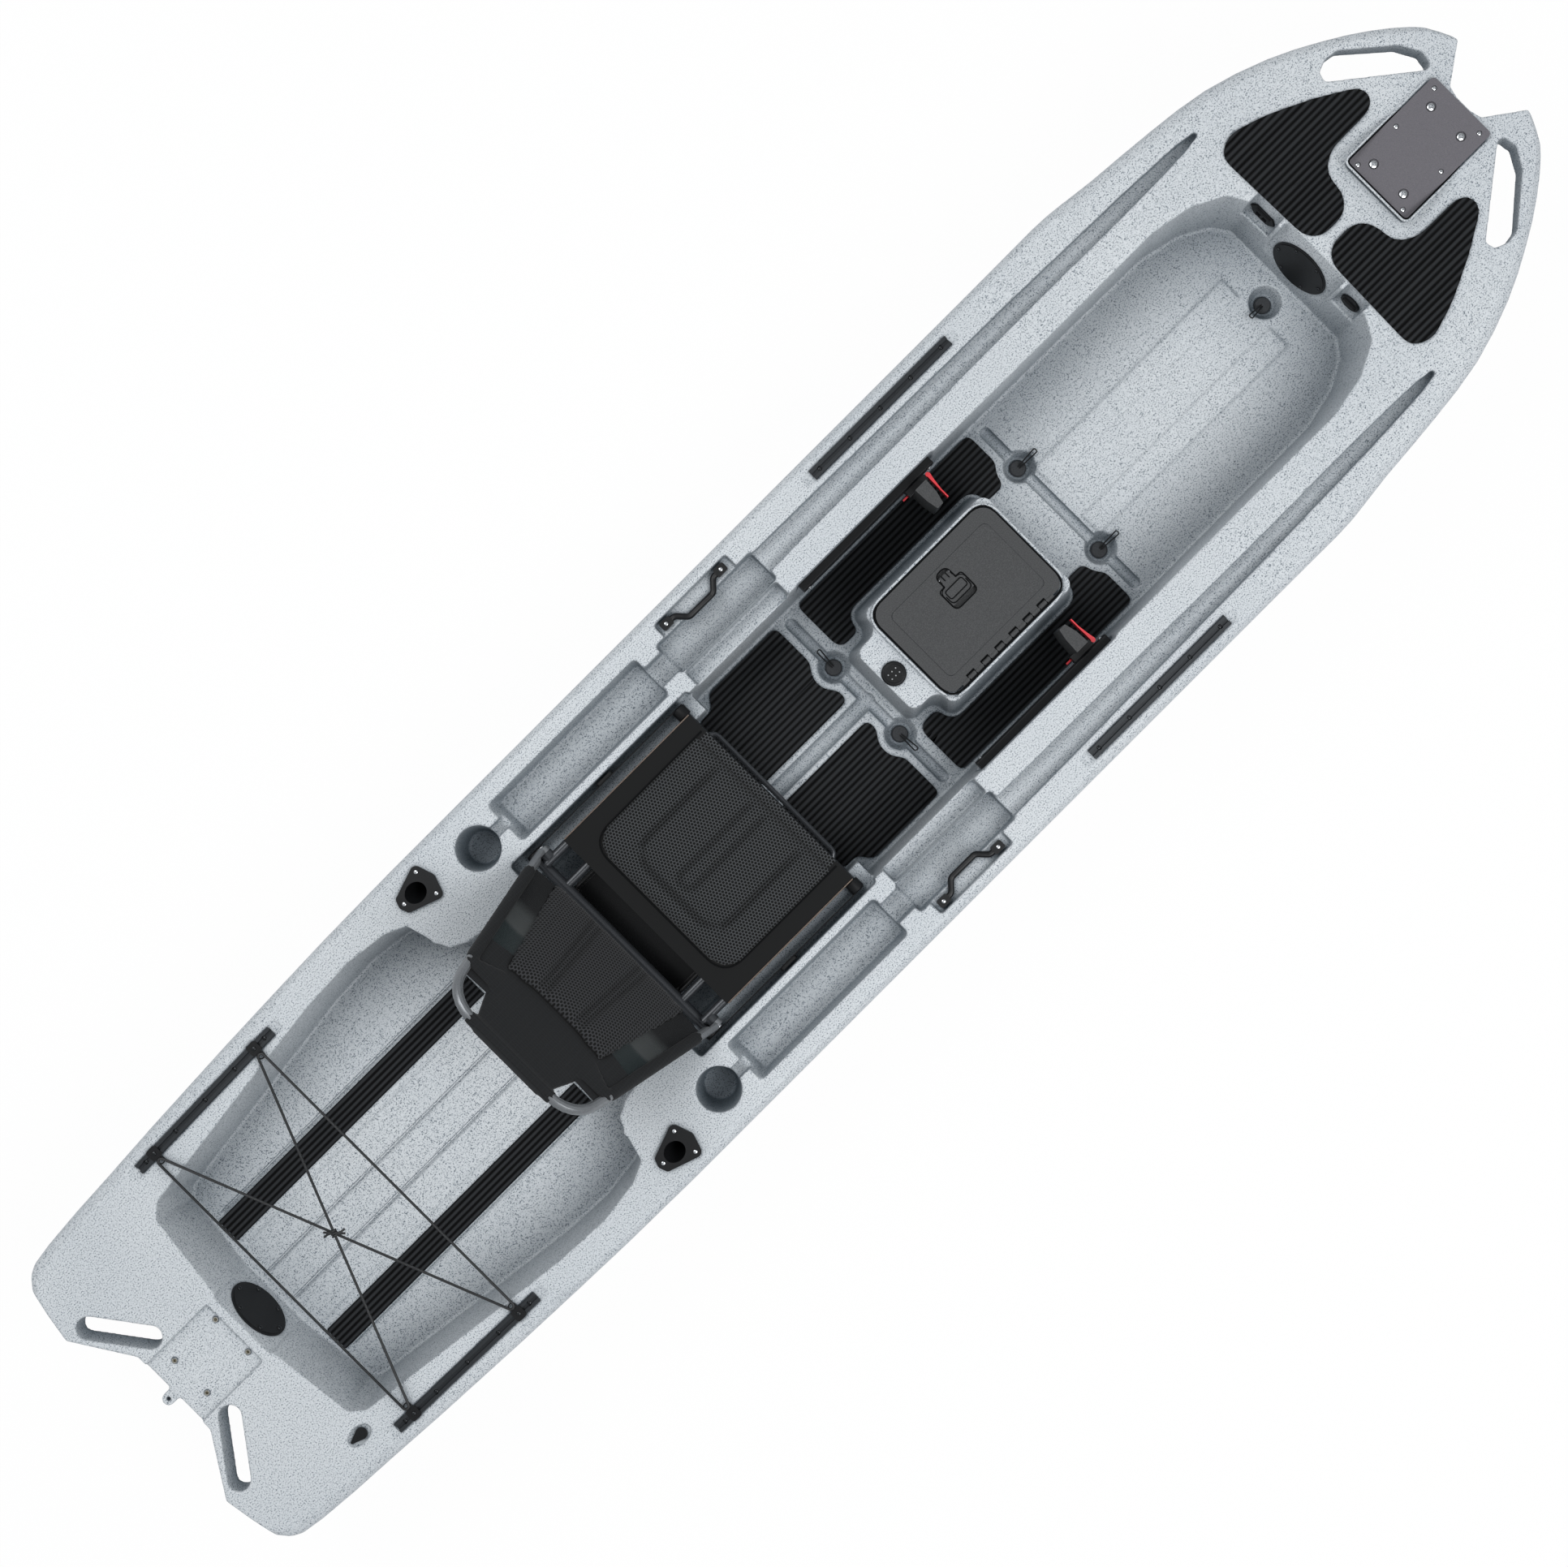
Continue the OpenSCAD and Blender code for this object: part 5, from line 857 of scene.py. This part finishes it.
def in_track(top, way):
    """Whether an upright screw holds a track, and not a carry handle or a rod holder."""
    at_handle = abs(abs(top[0] - HANDLE_X) - HANDLE_HALF) <= 0.01
    return way[2] > 0.9 and not at_handle and not ROD_XS[0] < top[0] < ROD_XS[1]


pan_screws = screw_places("pan_head_screws")
dark = [found for found in pan_screws if in_track(*found[:2])]
bright = [found for found in pan_screws if not in_track(*found[:2])]
screws("bright_pan_heads", bright, stainless, "steel", ["pan_head_screws"])
screws("dark_pan_heads", dark, black_steel, "black_screw")
screws("oval_cover_screws", screw_places("oval_plate_screws"), black_steel, "black_screw",
       ["oval_plate_screws"])
screws("bow_plate_bolts", screw_places("bow_plate_screws"), stainless, "black_screw", ["bow_plate_screws"])
bpy.data.objects.remove(head_object)
print("screws:", len(pan_screws), "pan heads, of them dark:", len(dark))

# %% [markdown]
# ## Ribbed foam pads
# The pads are sheets of EVA foam with rounded ribs that run along the hull. One long bar with a rounded top
# is repeated across the pad and cut to its outline, and a thinner sheet of that outline lies under the bars.

# %% Rib tree
ribs_tree, rib = new_tree("foam_ribs", {
    "Pitch": 0.013, "Rib width": 0.0095, "Top width": 0.006, "Height": 0.005, "Sheet share": 0.55,
    "Length": 1.0, "Start": "Vector", "Count": 10, "Material": "Material"})
run = add(ribs_tree, "ShaderNodeCombineXYZ", X=rib["Length"])
rail = add(ribs_tree, "GeometryNodeCurvePrimitiveLine", Start=(0, 0, 0), End=run.outputs[0])
shape = add(ribs_tree, "GeometryNodeCurvePrimitiveQuadrilateral", {"mode": "TRAPEZOID"}, Height=rib["Height"],
            Bottom_Width=rib["Rib width"], Top_Width=rib["Top width"], Offset=0.0)
rounding = maths(ribs_tree, "MULTIPLY", rib["Height"], 0.25)
round_shape = add(ribs_tree, "GeometryNodeFilletCurve", {"mode": "POLY"}, Curve=shape.outputs[0], Count=2,
                  Radius=rounding, Limit_Radius=True)
bar = add(ribs_tree, "GeometryNodeCurveToMesh", Curve=rail.outputs[0], Profile_Curve=round_shape.outputs[0],
          Fill_Caps=True)
step = add(ribs_tree, "ShaderNodeCombineXYZ", Y=rib["Pitch"])
row = add(ribs_tree, "GeometryNodeMeshLine", Count=rib["Count"], Start_Location=rib["Start"],
          Offset=step.outputs[0])
bars = add(ribs_tree, "GeometryNodeInstanceOnPoints", Points=row.outputs[0], Instance=bar.outputs[0])
solid_bars = add(ribs_tree, "GeometryNodeRealizeInstances", Geometry=bars.outputs[0])
cut = add(ribs_tree, "GeometryNodeMeshBoolean", {"operation": "INTERSECT"}, i1=rib["Geometry"])
ribs_tree.links.new(solid_bars.outputs[0], cut.inputs[1])
thin = add(ribs_tree, "ShaderNodeCombineXYZ", X=1.0, Y=1.0, Z=rib["Sheet share"])
sheet = add(ribs_tree, "GeometryNodeTransform", Geometry=rib["Geometry"], Scale=thin.outputs[0])
both = add(ribs_tree, "GeometryNodeJoinGeometry", Geometry=cut.outputs[0])
ribs_tree.links.new(sheet.outputs[0], both.inputs[0])
close_tree(ribs_tree, both.outputs[0], rib["Material"])
print("rib tree:", len(ribs_tree.nodes), "nodes")

# %% Ribbed pads
RIB_PITCH, RIB_WIDTH, RIB_TOP, BAR_SPARE = 13.0, 10.5, 7.5, 0.01
foredeck_tilt = math.atan(FOREDECK_SLOPE)


def rounded_slab(mesh, softness_mm, step_mm=4.0):
    """The flat slab with its outline softened: even steps along it, each averaged with its neighbours."""
    under = max(mesh.polygons, key=lambda face: -face.normal.z * face.area)
    corners = np.array([mesh.vertices[i].co for i in under.vertices])
    corners = np.vstack([corners, corners[:1]])
    run = np.concatenate([[0], np.cumsum(np.linalg.norm(np.diff(corners, axis=0), axis=1))])
    stops = np.linspace(0, run[-1], int(run[-1] / (step_mm * MM)), endpoint=False)
    outline = np.stack([np.interp(stops, run, corners[:, k]) for k in range(3)], axis=1)
    for _ in range(int(2 * (softness_mm / step_mm) ** 2)):
        outline = outline * 0.5 + (np.roll(outline, 1, axis=0) + np.roll(outline, -1, axis=0)) * 0.25
    loop, count = [Vector(at) for at in outline], len(outline)
    height = max(v.co.z for v in mesh.vertices) - loop[0].z
    caps = [tuple(range(count)), tuple(range(2 * count - 1, count - 1, -1))]
    walls = [((i + 1) % count, i, i + count, (i + 1) % count + count) for i in range(count)]
    return drawn("slab", loop + [at + Vector((0, 0, height)) for at in loop], faces=caps + walls)


def ribbed(node, tilt=0.0, softness_mm=8):
    """The pad's outline with ribs on it. A tilted pad is laid flat for the tree and put back afterwards."""
    mesh = welded(node)
    mesh.transform(Matrix.Rotation(tilt, 4, "Y"))
    mesh = rounded_slab(mesh, softness_mm)
    corners = coordinates(mesh)
    low, high = corners.min(0), corners.max(0)
    down = Matrix.Translation((0, 0, -low[2]))
    mesh.transform(down)
    height = float(high[2] - low[2])
    count = int((high[1] - low[1]) / (RIB_PITCH * MM)) + 2
    first = math.floor(low[1] / (RIB_PITCH * MM)) * RIB_PITCH * MM
    mesh = run_tree(ribs_tree, mesh, {
        "Pitch": RIB_PITCH * MM, "Rib width": RIB_WIDTH * MM, "Top width": RIB_TOP * MM, "Height": height,
        "Length": float(high[0] - low[0]) + 2 * BAR_SPARE,
        "Start": (float(low[0]) - BAR_SPARE, first, height / 2), "Count": count, "Material": pad_foam})
    mesh.transform(Matrix.Rotation(-tilt, 4, "Y") @ down.inverted())
    place(node + "_ribbed", mesh, "hull", None, "eva_black", [node])
    return count


for side in SIDES:
    print(side, "ribs:", ribbed("bow_pad_" + side, foredeck_tilt, 15), ribbed("aft_floor_pad_" + side),
          ribbed("side_floor_pad_" + side))
    soften("tankwell_strip_" + side, 0.6, strip_foam, "eva_black")

# %% [markdown]
# ## Woven and knitted cloth
# The seat's border and the back's yoke are tightly woven polyester, with a faint ripstop grid on the yoke.
# The pads are covered with a spacer mesh: a knitted net of small hexagonal holes that shows black between its
# grey threads. Three waves at 60 degrees to each other give that hexagonal lattice.


# %% Cloth finishes
def waves(tree, where, directions, pitch_mm):
    """The sum of cosine waves, one for each direction, whose crests lie pitch_mm apart."""
    total = None
    for direction in directions:
        turns = maths(tree, "MULTIPLY", along_way(tree, where, direction), 2 * math.pi / (pitch_mm * MM))
        wave = maths(tree, "COSINE", turns)
        total = wave if total is None else maths(tree, "ADD", total, wave)
    return total


def netted(name, thread, hole, across, along, cell_mm, coverage):
    """Spacer mesh in the plane of two unit vectors."""
    material, tree, surface = finish(name, thread, 0.8, specular=0.2, Sheen_Weight=0.1)
    across, along = Vector(across), Vector(along)
    directions = [across, across * -0.5 + along * 0.866, across * -0.5 - along * 0.866]
    level = share(tree, waves(tree, on_object(tree), directions, cell_mm * 0.866), -1.5, 3.0)
    tones = ramp_of(tree, level, [(coverage - 0.12, thread), (coverage + 0.06, hole)])
    # Painted shade: the net is darkened in its creases and seams.
    painted_hollow_shade(tree, surface, tones, 14, "#1C1D1E", 0.45)
    bump_from(tree, surface, maths(tree, "SUBTRACT", 1.0, level), 1.2, 0.6)
    return material


def woven(name, warp, weft, across, along, thread_mm, grid_mm=0.0):
    """Plain weave in the plane of two unit vectors, with a raised thread every grid_mm if that is given."""
    material, tree, surface = finish(name, warp, 0.8, specular=0.25, Sheen_Weight=0.08)
    where = on_object(tree)
    height = share(tree, waves(tree, where, (across, along), thread_mm), -2.0, 2.0)
    tones = ramp_of(tree, height, [(0.3, warp), (0.7, weft)])
    if grid_mm:
        lines = maths(tree, "MAXIMUM", *(share(tree, waves(tree, where, [way], grid_mm), 0.86, 1.0)
                                         for way in (across, along)))
        grid = add(tree, "ShaderNodeMix", {"data_type": "RGBA"}, i0=lines, i6=tones, i7=linear(weft))
        tones = grid.outputs[2]
        height = maths(tree, "ADD", height, lines)
    # Painted shade: the cloth is darkened in its creases and folds.
    painted_hollow_shade(tree, surface, tones, 14, "#202122", 0.4)
    bump_from(tree, surface, height, 0.3, 0.5)
    return material


RECLINE = math.radians(41)
ALONG, ACROSS, UPRIGHT = (1, 0, 0), (0, 1, 0), (0, 0, 1)
UP_BACK = (-math.sin(RECLINE), 0, math.cos(RECLINE))
seat_weave = woven("woven_black_polyester", "#060707", "#101112", ALONG, ACROSS, 2.4)
yoke_weave = woven("ripstop_black_nylon", "#0A0B0C", "#1B1D1F", ACROSS, UP_BACK, 2.0, grid_mm=7.0)
seat_net = netted("grey_spacer_mesh_seat", "#3F4143", "#020303", ACROSS, ALONG, 7.4, 0.27)
back_net = netted("grey_spacer_mesh_back", "#323335", "#040505", ACROSS, UP_BACK, 7.4, 0.32)
strap_weave = woven("woven_black_strap", "#0E0F10", "#1C1D1F", ALONG, UPRIGHT, 2.0)
soften("seat_straps", 0.4, strap_weave, "strap")
print("cloth finishes ready")

# %% Smoky film of the back's windows
smoky_film, tree, surface = finish("smoky_clear_film", "#1B2223", 0.25, IOR=1.45, Alpha=0.93)
slant = Vector(UP_BACK) * 0.94 + Vector((0, 0, 0.34))
band = share(tree, along_way(tree, on_object(tree), slant), 0.78, 1.09)
paint(tree, surface, ramp_of(tree, band, [(0.3, "#0C0D0E"), (0.4, "#353838"), (0.56, "#3B3E3E"),
                                          (0.6, "#1D2526"), (1.0, "#1A2223")]))
print("film:", smoky_film.name)

# %% [markdown]
# ## Stuffed pads
# A pad is a foam slab in a sewn cover. Its solid is remeshed into small even cells, the seams and the back
# are held, and a cloth simulation with a little pressure inside swells what lies between them. How far a
# point may move is capped, so that the pad keeps its size, and then a crease is pressed in along each seam.

# %% Swelling a pad
CLOTH_FRAMES = 14
PRESSURE = 4.0
PAD_CELL = 0.0042
SEAM_HALF, CREASE_HALF, CREASE_DEPTH, CREASE_RISE = 0.004, 0.0065, 0.0065, 0.01
scene = bpy.context.scene


def swollen(mesh, held, cap_mm):
    """The mesh after a short cloth simulation in which the held points (an array of weights) stay."""
    rest = coordinates(mesh)
    obj = linked("swelling", mesh)
    group = obj.vertex_groups.new(name="held")
    for index, weight in enumerate(held):
        if weight > 0:
            group.add([index], float(weight), "REPLACE")
    cloth = obj.modifiers.new("cloth", "CLOTH")
    settings = cloth.settings
    settings.effector_weights.gravity = 0
    settings.use_pressure = True
    settings.uniform_pressure_force = PRESSURE
    settings.quality = 5
    settings.mass = 0.3
    settings.tension_stiffness = settings.compression_stiffness = 12
    settings.vertex_group_mass = "held"
    cloth.collision_settings.use_collision = False
    cloth.point_cache.frame_start = 1
    cloth.point_cache.frame_end = CLOTH_FRAMES
    for frame_number in range(1, CLOTH_FRAMES + 1):
        scene.frame_set(frame_number)
    mesh = evaluated(obj)
    scene.frame_set(1)
    moved = coordinates(mesh) - rest
    size = np.linalg.norm(moved, axis=1)
    scale = np.minimum(1.0, cap_mm * MM / np.maximum(size, 1e-9))
    set_coordinates(mesh, rest + moved * scale[:, None])
    return mesh


def stuffed(node, seam, axis, face_from, crease_from, cap_mm, to_local, from_local):
    """A pad that swells along an axis of its own frame, with a crease along each seam."""
    shape = remeshed(welded(node, 0), PAD_CELL, 3)
    local = to_local(coordinates(shape))
    held = np.where(local[:, axis] > face_from, np.clip(1 - seam(local) / SEAM_HALF, 0, 1), 1.0)
    shape = swollen(shape, held, cap_mm)
    local = to_local(coordinates(shape))
    rise = np.clip((local[:, axis] - crease_from) / CREASE_RISE, 0, 1)
    local[:, axis] -= CREASE_DEPTH * np.exp(-(seam(local) / CREASE_HALF) ** 2) * rise
    set_coordinates(shape, from_local(local))
    return shape


# %% Seat cushion
seat_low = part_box("seat_pad")[0]
SEAT_U, SEAT_TONGUE = (0.046, 0.125, 0.05), (0.073, 0.02, 0.018)


def seat_seam(points):
    """Distance from the seat pad's sewn lines: a U and a narrow tongue inside it."""
    x, y = points[:, 0], np.abs(points[:, 1])

    def u_line(back, side, bend):
        corner_x, corner_y = seat_low.x + back + bend, side - bend
        away = np.hypot(np.minimum(x - corner_x, 0), np.maximum(y - corner_y, 0))
        return np.abs(np.where((x < corner_x) | (y > corner_y), away - bend, 1.0))

    return np.minimum(u_line(*SEAT_U), u_line(*SEAT_TONGUE))


def on_base(points):
    """No point lies under the seat pad's flat underside."""
    points[:, 2] = np.maximum(points[:, 2], seat_low.z)
    return points


seat_shape = stuffed("seat_pad", seat_seam, 2, seat_low.z + 0.004, seat_low.z + 0.006, 6.0, np.copy, on_base)
seat_cushion = place("seat_cushion", seat_shape, "seat", seat_net, "mesh_pad", ["seat_pad"], sharp=0)
print("seat cushion:", len(seat_shape.polygons), "faces")

# %% Back cushion
HINGE = np.array(Vector((-0.555, 0, 0.3433)))
back_out = Vector((math.cos(RECLINE), 0, math.sin(RECLINE)))
BACK_AXES = np.array([back_out, ACROSS, Vector(UP_BACK)])
BACK_HALF_LOW, BACK_HALF_TOP, TAPER_FROM, TAPER_LENGTH = 0.194, 0.134, 0.046, 0.263
BACK_SEAMS = (0.3, 0.42)
BACK_FACE = 0.012


def in_back(points):
    """Points in the back's own frame: out of its face, across, and up along it."""
    return (points - HINGE) @ BACK_AXES.T


def from_back(local):
    return HINGE + np.asarray(local, float) @ BACK_AXES


def back_seam(local):
    """Distance from the back pad's four upright seams, which lean with its tapering edges."""
    rise = np.clip((local[:, 2] - TAPER_FROM) / TAPER_LENGTH, 0, 1)
    half = BACK_HALF_LOW + (BACK_HALF_TOP - BACK_HALF_LOW) * rise
    u = np.abs(local[:, 1]) / half
    return np.minimum(*(np.abs(u - seam) for seam in BACK_SEAMS)) * half


back_shape = stuffed("back_pad", back_seam, 0, BACK_FACE, BACK_FACE, 5.0, in_back, from_back)
back_cushion = place("back_cushion", back_shape, "backrest", back_net, "mesh_pad", ["back_pad"], sharp=0)
print("back cushion:", len(back_shape.polygons), "faces")

# %% Back yoke and leg sleeves
YOKE_CELL = 0.004
SLEEVE_R_MM = 14.2
LEG, BEND_AT, BEND_R = np.array((0.262, 0.008)), np.array((0.176, 0.459)), 0.080
along_leg = (BEND_AT - LEG) / np.linalg.norm(BEND_AT - LEG)
knee = BEND_AT - along_leg * BEND_R * math.tan(math.acos(-along_leg[0]) / 2)
sleeve_ends = (LEG + (knee - LEG) * 0.17, knee - along_leg * 0.052)
sleeve_ways = [from_back([(0.0, k * y, z) for y, z in sleeve_ends]) for k in SIDES.values()]
sleeves = round_bars(sleeve_ways, SLEEVE_R_MM, yoke_weave, 16)
work = bmesh.new()
work.from_mesh(welded("back_cover", 0))
work.from_mesh(sleeves)
yoke_shape = remeshed(mesh_of(work, "yoke_shape"), YOKE_CELL, 5)
yoke = place("back_yoke", yoke_shape, "backrest", yoke_weave, "seat_fabric", ["back_cover"], sharp=0)
print("yoke:", len(yoke_shape.polygons), "faces")

# %% [markdown]
# ## Sheets
# The seat's border, the back's smoky windows and the cloth wings in its upper corners are flat sheets that
# are stretched between tubes and seams, so each is a grid between four corners with a small thickness.


# %% Seat border, windows and wings
def grid_sheet(name, corners, columns, rows, thickness, sag=0.0):
    """A sheet between four corners, in order, that dips away from the back's face by sag in its middle."""
    a, b, c, d = (Vector(p) for p in corners)
    vertices, faces = [], []
    for i in range(rows + 1):
        for j in range(columns + 1):
            u, v = j / columns, i / rows
            point = (a * (1 - u) + b * u) * (1 - v) + (d * (1 - u) + c * u) * v
            vertices.append(point - back_out * sag * (16 * u * (1 - u) * v * (1 - v)))
    for i in range(rows):
        for j in range(columns):
            k = i * (columns + 1) + j
            faces.append((k, k + 1, k + columns + 2, k + columns + 1))
    obj = linked("thickening", drawn(name, vertices, faces=faces))
    wall = obj.modifiers.new("wall", "SOLIDIFY")
    wall.thickness = thickness
    wall.offset = 0.0
    return evaluated(obj)


NET_FROM_X, NET_HALF = -0.158, 0.196
fabric_low, fabric_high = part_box("seat_fabric")
mid_z = (fabric_low.z + fabric_high.z) / 2
border_mesh = grid_sheet("border", [
    (fabric_low.x, fabric_low.y, mid_z), (fabric_high.x, fabric_low.y, mid_z),
    (fabric_high.x, fabric_high.y, mid_z), (fabric_low.x, fabric_high.y, mid_z)], 36, 48, 0.0026)
border = place("seat_border", border_mesh, "seat", seat_weave, "seat_fabric", ["seat_fabric"])
border_mesh.materials.append(seat_net)
for face in border_mesh.polygons:
    if face.center.x > NET_FROM_X and abs(face.center.y) < NET_HALF:
        face.material_index = 1

WINDOW = [(0.0028, 0.184, 0.050), (0.0028, 0.248, 0.056), (0.0028, 0.197, 0.341), (0.0028, 0.128, 0.313)]
WING = [(0.0046, 0.100, 0.262), (0.0046, 0.217, 0.286), (0.0046, 0.180, 0.392), (0.0046, 0.100, 0.388)]


def on_side(corners, k):
    """The corners on one side of the back, in the order that turns the sheet's front to the sitter."""
    return from_back((np.array(corners) * (1, k, 1))[::k])


for name, k in SIDES.items():
    window_mesh = grid_sheet("window", on_side(WINDOW, k), 8, 20, 0.0012, 0.004)
    window = place("back_window_" + name, window_mesh, "backrest", smoky_film, "see_through_mesh",
                   ["back_mesh"])
    wing_mesh = grid_sheet("wing", on_side(WING, k), 10, 10, 0.0014)
    wing = place("back_wing_" + name, wing_mesh, "backrest", yoke_weave, "seat_fabric")
print("sheets: border, two windows and two wings")

# %% [markdown]
# ## Trim of the seat
# A copper-brown welt lies along each side of the seat's border, and black piping follows the cushion's edge.

# %% Welts and piping
edge_z = fabric_high.z - 0.0006
WELT_Y, WELT_BACK, WELT_FRONT = 0.2475, -0.505, -0.130
PIPING_Y, PIPING_BACK, PIPING_FRONT = 0.2035, -0.4705, -0.135
welts = [[(WELT_BACK, k * WELT_Y, edge_z), (WELT_FRONT, k * WELT_Y, edge_z)] for k in SIDES.values()]
lay_bars("seat_side_welts", "seat", "seat_fabric", welts, 1.6, copper_strip)
piping = rounded([(PIPING_FRONT, PIPING_Y, edge_z), (PIPING_BACK, PIPING_Y, edge_z),
                  (PIPING_BACK, -PIPING_Y, edge_z), (PIPING_FRONT, -PIPING_Y, edge_z)], 58, steps=9)
lay_bars("seat_piping", "seat", "strap", [piping], 2.2, gasket_rubber)
print("seat trim ready")
